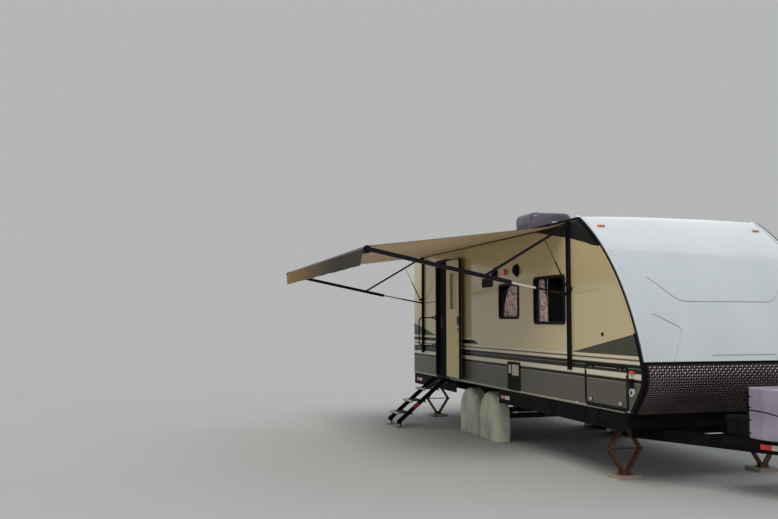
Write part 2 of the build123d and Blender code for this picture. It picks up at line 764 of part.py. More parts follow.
def a_frame():
    low = rail_z - frame_rail_depth
    frame = None
    for side in (-1, 1):
        start, end, angle, length = rail_line(side)
        middle = Location(((start[0] + end[0]) / 2, (start[1] + end[1]) / 2, (low + rail_z) / 2), (0, 0, angle))
        rail = middle * (Box(length, frame_rail_width, frame_rail_depth)
                         - Box(length - 12, frame_rail_width - 8, frame_rail_depth - 8))
        frame = rail if frame is None else frame + rail
    slope = (rail_y - tip_y) / (tip_x - rail_front_x + 120)
    for x, depth in ((-250, 60), (-560, 60), (-960, 80), (-1560, 80)):
        reach = tip_y + slope * (tip_x - x)
        frame += slab(x - 4, x + 4, -reach, reach, rail_z - depth, rail_z)
    return frame


def stores_tray():
    """Sheet tray that carries the gas bottles and the battery box."""
    sheet = plain(-1010, -225, -355, 355) - plain(-663, -652, -400, 400)
    tray = upward(sheet, rail_z, rail_z + 5)
    return group(*tray.solids())


def coupler():
    """Ball coupler: a pressed boot over the rail tips, with its socket and latch lever."""
    slope = (rail_y - tip_y) / (tip_x - rail_front_x + 120)
    edge = frame_rail_width / 2 / cos(radians(24.8)) + 7
    tail_x = -90
    tail_y = tip_y + slope * (tip_x - tail_x) + edge
    neck_x = 185
    neck_y = 62
    outer = Polyline((tail_x, -tail_y), (neck_x, -neck_y), (neck_x, neck_y), (tail_x, tail_y), (tail_x, -tail_y))
    boot = upward(make_face(outer.edges()), rail_z, rail_z + 8)
    boot += upward(plain(neck_x - 10, ball_x, -50, 50), rail_z - 55, rail_z + 8)
    outside = rod((ball_x, 0, socket_mouth_z), (ball_x, 0, rail_z + 8), 54)
    outside += Pos(ball_x, 0, rail_z - 18) * Sphere(54)
    outside -= slab(ball_x - 80, ball_x + 80, -80, 80, rail_z - 150, socket_mouth_z)
    boot += outside
    boot -= rod((ball_x, 0, socket_mouth_z - 10), (ball_x, 0, socket_mouth_z + socket_depth), socket_radius)
    boot -= Pos(ball_x, 0, socket_mouth_z + socket_depth) * Sphere(socket_radius)
    lever = along(plain(-14, 14, rail_z + 44, rail_z + 54), 90, 262)
    lever += slab(236, 262, -14, 14, rail_z + 20, rail_z + 50)
    lever += slab(150, 170, -10, 10, rail_z + 8, rail_z + 46)
    boot += lever
    boot -= rod((0, 0, rail_z - 20), (0, 0, rail_z + 20), jack_tube_radius + 0.5)
    return boot


def tongue_jack():
    """Powered screw jack through the coupler's boot, down on its foot."""
    jack = rod((0, 0, 330), (0, 0, jack_top_z), jack_tube_radius)
    jack += rod((0, 0, 20), (0, 0, 340), 22)
    jack += rod((0, 0, 0), (0, 0, 8), foot_radius)
    jack += rod((0, 0, 8), (0, 0, 34), 34)
    jack += slab(-60, 60, -60, 60, rail_z + 8, rail_z + 18)
    motor = Box(150, 130, 190)
    motor = fillet(motor.edges().filter_by(Axis.Z), 30)
    motor = fillet(motor.faces().sort_by(Axis.Z)[-1].edges(), 22)
    jack += Pos(-15, 0, jack_top_z + 85) * motor
    jack += rod((0, 0, jack_top_z + 170), (0, 0, jack_top_z + 200), 16)
    return jack


# Gas bottle cover: a moulded hood round two bottles, rounded in front and flat behind, with a
# lid that laps the lower half along a sagging seam and a column of hand slots at each rear corner
hood_x0, hood_x1 = -645, -245
hood_half = 345
hood_z0, hood_z1 = rail_z + 5, 1084
hood_wall = 6
hood_slots = (635, 760, 880, 985)


def hood_shell(inset, low, high):
    """Solid hood of rounded front corners, drawn in from the outside by a wall's thickness."""
    x0, x1, half = hood_x0 + inset, hood_x1 - inset, hood_half - inset
    plan = plain(x0, x1, -half, half)
    by_x = plan.vertices().sort_by(Axis.X)
    plan = fillet(by_x[2:], 185 - inset)
    plan = fillet(plan.vertices().sort_by(Axis.X)[:2], 28 - inset)
    shell = upward(plan, low, high - inset)
    return fillet(shell.faces().sort_by(Axis.Z)[-1].edges(), 22 - inset)


def gas_hood():
    mid_z = (hood_z0 + hood_z1) / 2
    hood = hood_shell(0, hood_z0, hood_z1) - hood_shell(hood_wall, hood_z0 - 1, hood_z1)
    seam_arc = ThreePointArc((-hood_half - 20, 40), (0, -50), (hood_half + 20, 40))
    seam = extrude(Pos(hood_x0 - 20, 0, mid_z - 10) * (Plane.YZ * trace(seam_arc, 10)), amount=450, dir=(1, 0, 0))
    hood -= seam - hood_shell(4, hood_z0, hood_z1)
    for z in hood_slots:
        for side in (-1, 1):
            slot = slab(hood_x0 + 34, hood_x0 + 84, side * hood_half - 20, side * hood_half + 20, z, z + 12)
            hood -= fillet(slot.edges().filter_by(Axis.Y), 5)
    return hood


def battery_box():
    x0, x1, y0, y1 = -990, -670, -320, -120
    low, lid, high = rail_z + 5, rail_z + 145, rail_z + 185
    box = upward(Pos((x0 + x1) / 2, (y0 + y1) / 2) * RectangleRounded(x1 - x0 - 14, y1 - y0 - 14, 14), low, lid)
    cover = upward(Pos((x0 + x1) / 2, (y0 + y1) / 2) * RectangleRounded(x1 - x0, y1 - y0, 18), lid, high)
    cover = chamfer(cover.faces().sort_by(Axis.Z)[-1].edges(), 12)
    strap = slab(-830, -800, y0 - 3, y1 + 3, low, high + 3) - slab(-831, -799, y0, y1, low - 1, high)
    return box + cover + strap


# Axles, springs and wheels
def axle_set():
    pieces = []
    for x in axle_x:
        tube = rod((x, -axle_reach, tyre_radius), (x, axle_reach, tyre_radius), axle_radius)
        for side in (-1, 1):
            tube += rod((x, side * (axle_reach - 10), tyre_radius), (x, side * spindle_reach, tyre_radius), spindle_radius)
            tube += rod((x, side * (axle_reach - 15), tyre_radius), (x, side * axle_reach, tyre_radius), 110)
            y = side * rail_y
            tube += slab(x - 60, x + 60, y - 30, y + 30, tyre_radius + 20, tyre_radius + axle_radius + 8)
        pieces.append(tube)
    return group(*pieces)


def leaf_spring(side, x0, x1, axle):
    """Four stacked leaves on the axle's seat, the longest rising to an eye at each end."""
    seat = tyre_radius + axle_radius + 8
    eye_z = seat + 62
    y0, y1 = side * rail_y - 22, side * rail_y + 22
    pack = None
    for step in range(4):
        reach = 1 - 0.22 * (3 - step)
        a, b = axle + (x0 - axle) * reach, axle + (x1 - axle) * reach
        low = seat + 9 * step
        lift = (eye_z - seat - 27) * reach ** 2
        arc = ThreePointArc((a, low + lift + 4), (axle, low + 4.6), (b, low + lift + 4))
        leaf = across(trace(arc, 9.2), y0, y1)
        pack = leaf if pack is None else pack + leaf
    for x in (x0, x1):
        eye = rod((x, y0, eye_z + 6), (x, y1, eye_z + 6), 17)
        pack += eye
    clamp = slab(axle - 45, axle + 45, y0 - 6, y1 + 6, seat + 36, seat + 46)
    for dx in (-38, 38):
        for y in (y0 - 4, y1 + 4):
            clamp += rod((axle + dx, y, seat), (axle + dx, y, seat + 50), 6)
    return pack + clamp


def springs():
    """Tandem spring packs with their hangers and the equaliser between them."""
    eye_z = tyre_radius + axle_radius + 8 + 68
    pieces = []
    for side in (-1, 1):
        y = side * rail_y
        front, mid_front, mid_rear, rear = spring_eye_x
        run = leaf_spring(side, mid_front, front, axle_x[0]) + leaf_spring(side, rear, mid_rear, axle_x[1])
        middle = (mid_front + mid_rear) / 2
        link = Polyline((mid_front, eye_z), (middle, eye_z + 44), (mid_rear, eye_z))
        for y0 in (y - 32, y + 24):
            run += across(trace(link, 26), y0, y0 + 8)
            for x in (mid_front, mid_rear):
                run += rod((x, y0, eye_z), (x, y0 + 8, eye_z), 22)
            for x in (front, middle, rear):
                wide = 34 if x != middle else 44
                foot = eye_z if x != middle else eye_z + 44
                run += slab(x - wide, x + wide, y0, y0 + 8, foot - 22, rail_z)
        for x in (front, mid_front, mid_rear, rear):
            run += rod((x, y - 36, eye_z), (x, y + 36, eye_z), 8)
        run += rod((middle, y - 36, eye_z + 44), (middle, y + 36, eye_z + 44), 9)
        pieces.append(run)
    return group(*pieces)


def tyre(x, side):
    """Tyre turned about its own axle."""
    half = tyre_width / 2
    bead = rim_radius + 0.5
    outside = [(bead, half - 22), (bead + 34, half - 4), (bead + 80, half), (tyre_radius - 18, half - 12),
               (tyre_radius - 4, half - 28), (tyre_radius, half - 44)]
    inside = [(bead + 12, half - 34)]
    right = outside[::-1] + inside
    left = [(radius, -y) for radius, y in inside + outside]
    outline = Polyline(*right, *left, right[0])
    section = make_face(outline.edges())
    ring = revolve(section, Axis.Y, 360)
    return Pos(x, side * wheel_y, tyre_radius) * ring


def rim(x, side):
    """Steel wheel with eight hand holes, hub, cap and five nuts."""
    half = tyre_width / 2
    profile = Polyline((rim_radius, half - 24), (rim_radius, half - 34), (rim_radius - 8, half - 34),
                       (rim_radius - 22, half - 60), (rim_radius - 22, -half + 50), (rim_radius - 8, -half + 34),
                       (rim_radius, -half + 34), (rim_radius, -half + 24), (rim_radius - 12, -half + 24),
                       (rim_radius - 27, -half + 50), (rim_radius - 27, half - 58), (rim_radius - 12, half - 24),
                       (rim_radius, half - 24))
    barrel = revolve(make_face(profile.edges()), Axis.Y, 360)
    dish = Polyline((0, 20), (70, 20), (100, 34), (130, 30), (rim_radius - 24, 4), (rim_radius - 24, -4),
                    (130, 22), (100, 26), (70, 12), (0, 12), (0, 20))
    disc = revolve(make_face(dish.edges()), Axis.Y, 360)
    for step in range(8):
        angle = radians(45 * step)
        hole = rod((136 * cos(angle), -20, 136 * sin(angle)), (136 * cos(angle), 60, 136 * sin(angle)), 17)
        disc -= hole
    hub = rod((0, -70, 0), (0, 12, 0), hub_radius) + rod((0, 12, 0), (0, 48, 0), 34)
    for step in range(5):
        angle = radians(72 * step)
        centre = (57 * cos(angle), 57 * sin(angle))
        nut = extrude(Plane.XZ * (Pos(*centre) * RegularPolygon(11, 6)), amount=-36, dir=None)
        disc += nut & slab(-90, 90, 18, 36, -90, 90)
    wheel = barrel + disc + hub
    wheel -= rod((0, -80, 0), (0, spindle_reach - wheel_y + 2, 0), spindle_radius + running_gap)
    if side < 0:
        wheel = mirror(wheel, Plane.XZ)
    return Pos(x, side * wheel_y, tyre_radius) * wheel


def wheel_cover(x, side):
    """Fitted cloth cover that stands over one wheel, open below and towards the chassis."""
    outer_y = side * (wheel_y + tyre_width / 2 + cover_gap + cover_thick)
    inner_y = side * (wheel_y - tyre_width / 2 + 25)
    radius = tyre_radius + cover_gap + cover_thick
    dome = Pos(x, tyre_radius) * Circle(radius) + plain(x - radius, x + radius, 0, tyre_radius)
    inside = Pos(x, tyre_radius) * Circle(radius - cover_thick)
    inside += plain(x - radius + cover_thick, x + radius - cover_thick, -5, tyre_radius)
    cover = across(dome, inner_y, outer_y)
    cover -= across(inside, inner_y - side * 5, outer_y - side * cover_thick)
    return cover & slab(x - radius, x + radius, -half_width - 60, half_width + 60, 0, 2 * tyre_radius + 60)


# Awning, worked out from its pivots: both ends of the four-bar close against the wall
upper_length = hypot(knee_out - pivot_out, top_pivot_z - knee_z)
pivot_span = top_pivot_z - low_pivot_z
slope_out, slope_up = cos(radians(main_slope)), sin(radians(main_slope))
knee_from_low = (knee_out - pivot_out, knee_z - low_pivot_z)
length_excess = upper_length - pivot_span
elbow_back = ((knee_from_low[0] ** 2 + knee_from_low[1] ** 2 - length_excess ** 2)
              / (2 * (length_excess + knee_from_low[0] * slope_out + knee_from_low[1] * slope_up)))
elbow = (knee_out - elbow_back * slope_out, knee_z - elbow_back * slope_up)
tip = (knee_out + main_reach * slope_out, knee_z + main_reach * slope_up)
arm_fold = atan2(knee_out - pivot_out, top_pivot_z - knee_z)
strut_eye = (pivot_out + strut_on_arm * sin(arm_fold), top_pivot_z - strut_on_arm * cos(arm_fold))


def wall_yz(point):
    """Distance out and height to Y and Z."""
    return -half_width - point[0], point[1]


def flat_link(start, end, x_middle, thick, depth, eyes):
    """Round-ended bar in a plane across the trailer, with a pin hole of given radius at each end."""
    (y0, z0), (y1, z1) = wall_yz(start), wall_yz(end)
    length = hypot(y1 - y0, z1 - z0)
    angle = degrees(atan2(z1 - z0, y1 - y0))
    place = Pos((y0 + y1) / 2, (z0 + z1) / 2) * Rot(0, 0, angle)
    link = along(place * SlotCenterToCenter(length, depth), x_middle - thick / 2, x_middle + thick / 2)
    for (y, z), radius in zip(((y0, z0), (y1, z1)), eyes):
        if radius:
            link -= rod((x_middle - thick, y, z), (x_middle + thick, y, z), radius)
    return link


def pin_at(point, x0, x1, radius):
    y, z = wall_yz(point)
    return rod((x0, y, z), (x1, y, z), radius)


def ends():
    """Channel X and the outward sign, for the front and rear arm sets."""
    return ((channel_x[0], 1), (channel_x[1], -1))


def awning_channels():
    pieces = []
    top, low, strut = (pivot_out, top_pivot_z), (pivot_out, low_pivot_z), (pivot_out, strut_low_z)
    for x, out in ends():
        half = channel_width / 2
        wall = -half_width
        profile = plain(x - half, x + half, wall - channel_depth, wall)
        profile -= plain(x - half + 4, x + half - 4, wall - channel_depth - 1, wall - 4)
        channel = upward(profile, channel_z0, channel_z1)
        for point, hand, layer, reach, radius in ((top, 1, arm_layer + 10, arm_layer - 6, pin_radius),
                                                  (low, -1, arm_layer + 10, arm_layer - 6, pin_radius),
                                                  (strut, 1, strut_layer + 12, strut_layer - 9, 5)):
            y, z = wall_yz(point)
            sign = out * hand
            middle = x + sign * layer
            ear = slab(middle - 3, middle + 3, y - 16, wall - 2, z - 20, z + 20)
            foot = slab(x + sign * (half - 2), middle, wall - channel_depth + 10, wall - 2, z - 20, z + 20)
            channel += ear + foot + pin_at(point, middle, x + sign * reach, radius)
        pieces.append(channel)
    return group(*pieces)


def upper_arms():
    pieces = []
    for x, out in ends():
        middle = x + out * arm_layer
        arm = flat_link((pivot_out, top_pivot_z), (knee_out, knee_z), middle, link_thick, arm_depth,
                        (pin_radius + running_gap, 0))
        inner = middle - out * link_thick / 2
        arm += pin_at((knee_out, knee_z), middle, x - out * main_thick / 2, pin_radius)
        arm += pin_at((knee_out, knee_z), inner, x + out * (main_thick / 2 + 1), 12)
        outer = middle + out * link_thick / 2
        arm += pin_at(strut_eye, middle, outer + out * 4, 8)
        pieces.append(arm)
    return group(*pieces)


def main_arms():
    pieces = []
    for x, out in ends():
        arm = flat_link(elbow, tip, x, main_thick, main_depth, (0, 0))
        y, z = wall_yz((knee_out, knee_z))
        arm -= rod((x - 20, y, z), (x + 20, y, z), pin_radius + running_gap)
        head = pin_at(tip, x - main_thick / 2, x + main_thick / 2, 30)
        pieces.append(arm + head)
    return group(*pieces)


def lower_links():
    pieces = []
    start = (pivot_out, low_pivot_z)
    for x, out in ends():
        middle = x - out * arm_layer
        link = flat_link(start, elbow, middle, link_thick, arm_depth - 6, (pin_radius + running_gap, 0))
        link += pin_at(elbow, middle, x - out * (main_thick / 2 + 1), 10)
        pieces.append(link)
    return group(*pieces)


def strut_pieces():
    """Cylinders and rods of the gas struts; each rod's eye stands beside its pin on the arm."""
    low, high = (pivot_out, strut_low_z), strut_eye
    length = hypot(high[0] - low[0], high[1] - low[1])
    reach = ((high[0] - low[0]) / length, (high[1] - low[1]) / length)
    shut = top_pivot_z - strut_on_arm - strut_low_z
    tube_top = shut - 60
    cylinders, rods = [], []

    def point(x_mid, distance):
        y, z = wall_yz((low[0] + reach[0] * distance, low[1] + reach[1] * distance))
        return (x_mid, y, z)

    for x, out in ends():
        x_mid = x + out * strut_layer
        tube = rod(point(x_mid, 22), point(x_mid, tube_top), 9) + rod(point(x_mid, 0), point(x_mid, 24), 6)
        eye = pin_at(low, x_mid - 8, x_mid + 8, 12)
        tube += eye
        tube -= pin_at(low, x_mid - 12, x_mid + 12, 5 + running_gap)
        tube -= rod(point(x_mid, 30), point(x_mid, tube_top + 5), 5)
        cylinders.append(tube)
        ram = rod(point(x_mid, length - shut + 36), point(x_mid, length - 6), 4)
        ram += pin_at(high, x_mid - 8, x_mid + 8, 11)
        rods.append(ram)
    return group(*cylinders), group(*rods)


def roller():
    """Fabric roller between the two arms, with a dark cap at each end."""
    front, rear = channel_x[0] - main_thick / 2, channel_x[1] + main_thick / 2
    y, z = wall_yz(tip)
    tube = rod((rear + 28, y, z), (front - 28, y, z), roller_radius)
    for a, b in ((rear + 4, rear + 28), (front - 28, front - 4)):
        tube += rod((a, y, z), (b, y, z), roller_radius + 6)
    tube += rod((rear, y, z), (front, y, z), 12)
    return tube


fabric_x0 = channel_x[1] + fabric_gap
fabric_x1 = channel_x[0] - fabric_gap


def canopy():
    """Cloth from the bead in the wall rail to the top of the roller."""
    bead = (rail_out - 9, rail_bead_z)
    bend = (rail_out + 12, rail_bead_z - 1)
    fall = atan2(bend[1] - tip[1] - roller_radius, tip[0] - bend[0])
    touch_radius = roller_radius + fabric_thick / 2 + 0.5
    touch = (tip[0] + touch_radius * sin(fall), tip[1] + touch_radius * cos(fall))
    line = Polyline(wall_yz(bead), wall_yz(bend), wall_yz(touch))
    sheet = trace(line, fabric_thick) + Pos(*wall_yz(bead)) * Circle(4.5)
    return along(sheet, fabric_x0, fabric_x1)


def valance():
    """Flap that hangs from the front of the roller, with a straight hem and rounded lower corners."""
    y, z = wall_yz(tip)
    front_y = y - roller_radius - 0.5
    top_z = z + 6
    low = top_z - valance_drop
    flap = plain(fabric_x0, fabric_x1, low, top_z)
    flap = fillet(flap.vertices().sort_by(Axis.Y)[:2], 55)
    return across(flap, front_y - fabric_thick, front_y)


# Roof fittings
def seated(shape):
    """Roof fitting with its underside trimmed to the crowned roof."""
    return shape - envelope


def air_conditioner():
    x0, x1, high = -6060, -5370, 3400
    low = roof_crown_z - 20
    hood = Box(x1 - x0, 700, high - low)
    hood = fillet(hood.edges().filter_by(Axis.Z), 120)
    hood = fillet(hood.faces().sort_by(Axis.Z)[-1].edges(), 95)
    hood = Pos((x0 + x1) / 2, 0, (low + high) / 2) * hood
    for step in range(6):
        z = roof_crown_z + 70 + 34 * step
        hood -= slab(x0 - 10, x0 + 22, -220, 220, z, z + 16)
        for side in (-1, 1):
            hood -= slab(x0 + 150, x1 - 150, side * 328, side * 360, z, z + 16)
    base = slab(x0 + 60, x1 - 60, -330, 330, low, roof_crown_z + 22)
    return seated(hood + base)


def roof_vents():
    pieces = []
    for x, y, size, high in ((rear_x + 1360, 0, 470, 230), (-3450, 0, 400, 95), (-4300, 620, 380, 95)):
        curb = slab(x - size / 2, x + size / 2, y - size / 2, y + size / 2, roof_edge_z - 5, roof_crown_z + 40)
        lid = Box(size + 50, size + 50, high - 40)
        lid = fillet(lid.edges().filter_by(Axis.Z), 50)
        lid = fillet(lid.faces().sort_by(Axis.Z)[-1].edges(), 24)
        pieces.append(seated(curb + Pos(x, y, roof_crown_z + 40 + (high - 40) / 2) * lid))
    for x, y in ((rear_x + 740, 820), (-6800, -760), (-3900, -700)):
        pipe = rod((x, y, roof_edge_z), (x, y, roof_crown_z + 70), 28)
        pipe += rod((x, y, roof_crown_z + 70), (x, y, roof_crown_z + 96), 52)
        pieces.append(seated(pipe))
    return group(*pieces)


# Lamps, speakers, inlets and plates on the outside of the shell
def wall_disc(side, x, z, radius, out):
    return across(Pos(x, z) * Circle(radius), face_y(side, 0), face_y(side, out))


def speaker(x, z):
    """Round weatherproof speaker with a domed grille."""
    ring = wall_disc(-1, x, z, 85, 22)
    ring = chamfer(ring.edges().sort_by(Axis.Y)[0], 10)
    dome = Pos(x, -half_width - 4, z) * Sphere(68)
    dome &= slab(x - 80, x + 80, -half_width - 52, -half_width, z - 80, z + 80)
    return ring + dome


def fittings():
    pieces = [speaker(-4776, 2400), speaker(-4033, 2400)]
    plate = across(rounded(-5260, -4880, 2210, 2340, 20), face_y(-1, 0), face_y(-1, 14))
    pieces.append(plate)
    for side, x, z, radius, out in ((-1, -1235, 995, 42, 18), (-1, -1815, 1580, 20, 8), (1, -4100, 1000, 60, 30),
                                    (1, -3950, 1250, 40, 18), (1, -6900, 1180, 50, 60), (1, -7040, 1180, 50, 60)):
        pieces.append(wall_disc(side, x, z, radius, out))
    pieces.append(across(rounded(-1255, -1215, 1040, 1135, 8), face_y(-1, 0), face_y(-1, 30)))
    return group(*pieces)


def nose_lamp(y, z):
    """Marker lamp seated on the curved cap."""
    x, heading = nose_at(z)
    lens = fillet(Box(34, 96, 26).edges().filter_by(Axis.X), 12)
    lens = Location((x, y, z), (0, heading - 90, 0)) * lens
    return lens - envelope


def lamps():
    pieces = [nose_lamp(-1040, 2800), nose_lamp(1040, 2800)]
    porch = across(rounded(-4475, -4363, 2355, 2432, 20), face_y(-1, 0), face_y(-1, 48))
    pieces.append(chamfer(porch.faces().sort_by(Axis.Y)[0].edges(), 8))
    for side in (-1, 1):
        for x, z in ((-1230, 1199), (rear_x + 80, 1199)):
            pieces.append(across(rounded(x - 45, x + 45, z - 16, z + 16, 14), face_y(side, 0), face_y(side, 20)))
        lamp_y = side * (half_width - 210)
        rear = along(rounded(lamp_y - 55, lamp_y + 55, 960, 1180, 24), rear_x - 26, rear_x)
        pieces.append(rear)
        pieces.append(along(rounded(side * 1080 - 45, side * 1080 + 45, 2560, 2592, 14), rear_x - 20, rear_x))
    for y in (-200, 0, 200):
        pieces.append(along(rounded(y - 45, y + 45, 2590, 2620, 14), rear_x - 20, rear_x))
    return group(*pieces)


# Corner scissor jacks on their wooden pads
scissor_x = [-1950, rear_x + 390]
pad_thick = 38
jack_spread = 195


def scissor_jack(x, side):
    y = side * rail_y
    low, high = pad_thick, rail_z
    waist = (low + high) / 2 + 4
    jack = slab(x - 60, x + 60, y - 75, y + 75, low, low + 6)
    jack += slab(x - 50, x + 50, y - 60, y + 60, high - 8, high)
    for sign in (-1, 1):
        hand = y + sign * jack_spread
        for hinge_z, hinge_y in ((low + 26, y + sign * 26), (high - 28, y + sign * 26)):
            for offset in (-28, 20):
                arm = trace(Line((hinge_y, hinge_z), (hand, waist)), 30)
                jack += along(arm, x + offset, x + offset + 8)
            jack += rod((x - 34, hinge_y, hinge_z), (x + 34, hinge_y, hinge_z), 9)
        jack += rod((x - 34, hand, waist), (x + 34, hand, waist), 14)
    for a, b in ((low, low + 44), (high - 46, high)):
        for offset in (-38, 32):
            jack += along(plain(y - 50, y + 50, a, b), x + offset, x + offset + 6)
    far, near = y - jack_spread - 40, y + jack_spread + 40
    return jack + rod((x, far, waist), (x, near, waist), 8)


def ground_boards():
    pieces = []
    for x in scissor_x:
        for side in (-1, 1):
            y = side * rail_y
            pieces.append(slab(x - 130, x + 130, y - 140, y + 140, 0, pad_thick))
    for x in (stair_x0 + leg_size / 2, stair_x1 - leg_size / 2):
        pieces.append(slab(x - 75, x + 75, leg_y - 90, leg_y + 90, 0, board_thick))
    return group(*pieces)


def make_parts():
    """Every named piece of the trailer."""
    cylinders, rods = strut_pieces()
    parts = {
        "sidewall_kerb": side_wall(-1),
        "sidewall_road": side_wall(1),
        "front_cap": front_cap(),
        "stone_guard": front_ring(wall_z, guard_top_z),
        "roof": roof_panel(),
        "rear_wall": rear_wall(),
        "floor": floor_panel(),
        "body_mouldings": mouldings(),
        "window_frames": group(*[window_frame(*row) for row in windows]),
        "window_glass": group(*[window_pane(*row) for row in windows]),
        "curtains": group(*[curtain(*row) for row in curtains]),
        "door_frame": door_frame(),
        "entry_door": entry_door(),
        "door_window": door_window(),
        "door_hardware": door_hardware(),
        "screen_door": screen_door(),
        "grab_handle": grab_handle(),
        "grab_brackets": group(grab_bracket(grab_z0), grab_bracket(grab_z1)),
        "entry_stair": entry_stair(),
        "stair_mount": stair_mount(),
        "hatch_frames": group(*[hatch_frame(*row) for row in hatches]),
        "luggage_door_kerb": hatch_door(*hatches[0]),
        "luggage_door_road": hatch_door(*hatches[1]),
        "wall_vents": group(service_hatch(), louvred(1, -6700, -6140, 820, 1180, 8),
                            louvred(1, -3620, -3220, 830, 1170, 6)),
        "chassis": chassis(),
        "skirts": skirts(),
        "a_frame": a_frame(),
        "stores_tray": stores_tray(),
        "coupler": coupler(),
        "tongue_jack": tongue_jack(),
        "gas_hood": gas_hood(),
        "battery_box": battery_box(),
        "axles": axle_set(),
        "leaf_springs": springs(),
        "wheel_covers": group(*[wheel_cover(x, side) for x in axle_x for side in (-1, 1)]),
        "awning_channels": awning_channels(),
        "upper_arms": upper_arms(),
        "main_arms": main_arms(),
        "lower_links": lower_links(),
        "strut_cylinders": cylinders,
        "strut_rods": rods,
        "roller": roller(),
        "canopy": canopy(),
        "valance": valance(),
        "air_conditioner": air_conditioner(),
        "roof_vents": roof_vents(),
        "fittings": fittings(),
        "lamps": lamps(),
        "scissor_jacks": group(*[scissor_jack(x, side) for x in scissor_x for side in (-1, 1)]),
        "ground_boards": ground_boards(),
    }
    for name, side in (("kerb", -1), ("road", 1)):
        for place, x in zip(("front", "rear"), axle_x):
            parts["tyre_" + name + "_" + place] = tyre(x, side)
            parts["rim_" + name + "_" + place] = rim(x, side)
    return parts


os.makedirs("parts", exist_ok=True)
for name, shape in make_parts().items():
    export_step(shape, os.path.join("parts", name + ".step"))
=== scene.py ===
"""Looks of a travel trailer parked with its awning out, its entry door folded back and its stair down."""
from math import cos, exp, hypot, pi, radians, sin, sqrt, tan

import bmesh
import bpy
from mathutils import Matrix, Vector, noise


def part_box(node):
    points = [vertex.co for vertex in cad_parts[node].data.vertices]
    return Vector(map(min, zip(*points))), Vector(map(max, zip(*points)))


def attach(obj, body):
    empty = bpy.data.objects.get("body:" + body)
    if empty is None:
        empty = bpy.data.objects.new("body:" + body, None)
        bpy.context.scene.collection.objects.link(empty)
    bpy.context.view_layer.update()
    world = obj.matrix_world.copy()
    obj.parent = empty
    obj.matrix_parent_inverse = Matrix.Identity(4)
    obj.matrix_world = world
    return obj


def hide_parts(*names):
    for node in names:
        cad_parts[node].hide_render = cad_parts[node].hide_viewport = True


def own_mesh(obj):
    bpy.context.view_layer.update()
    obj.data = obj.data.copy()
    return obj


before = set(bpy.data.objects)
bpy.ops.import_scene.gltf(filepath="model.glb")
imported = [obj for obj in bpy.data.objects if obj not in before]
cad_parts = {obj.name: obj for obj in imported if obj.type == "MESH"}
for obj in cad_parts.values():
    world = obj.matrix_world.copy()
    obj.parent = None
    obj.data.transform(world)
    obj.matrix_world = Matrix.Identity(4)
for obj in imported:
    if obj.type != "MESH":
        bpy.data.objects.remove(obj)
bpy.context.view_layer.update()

# Studio: a camera at the photograph's angle, a pale matt floor and soft light from a wide sky.
# Reflections and the background show a plain grey wall instead of that sky.
photo_width, focal_px, sensor = 778, 848, 36.0
camera_at, camera_yaw, camera_pitch, camera_reach = Vector((6.47, -5.97, 1.73)), radians(15.74), radians(4.1), 900


class Wire:
    """Output of a node; arithmetic on it adds Math nodes to the same tree."""

    def __init__(self, shading, socket):
        self.shading, self.socket = shading, socket

    def maths(self, operation, *values):
        return self.shading.node("ShaderNodeMath", {"operation": operation}, dict(enumerate(values)))

    def __add__(self, other):
        return self.maths("ADD", self, other)

    def __sub__(self, other):
        return self.maths("SUBTRACT", self, other)

    def __rsub__(self, other):
        return self.maths("SUBTRACT", other, self)

    def __mul__(self, other):
        return self.maths("MULTIPLY", self, other)

    def __gt__(self, other):
        return self.maths("GREATER_THAN", self, other)

    def __lt__(self, other):
        return self.maths("LESS_THAN", self, other)

    def __or__(self, other):
        return self.maths("MAXIMUM", self, other)

    __radd__, __rmul__ = __add__, __mul__


class Shading:
    """Node tree of a finish or of the studio, with the one method that adds a node to it."""

    def __init__(self, tree):
        self.tree = tree

    def node(self, kind, settings, values, output=0):
        made = self.tree.nodes.new(kind)
        for key, value in settings.items():
            setattr(made, key, value)
        for key, value in values.items():
            if isinstance(value, Wire):
                self.tree.links.new(value.socket, made.inputs[key])
            else:
                made.inputs[key].default_value = value
        return Wire(self, made.outputs[output])


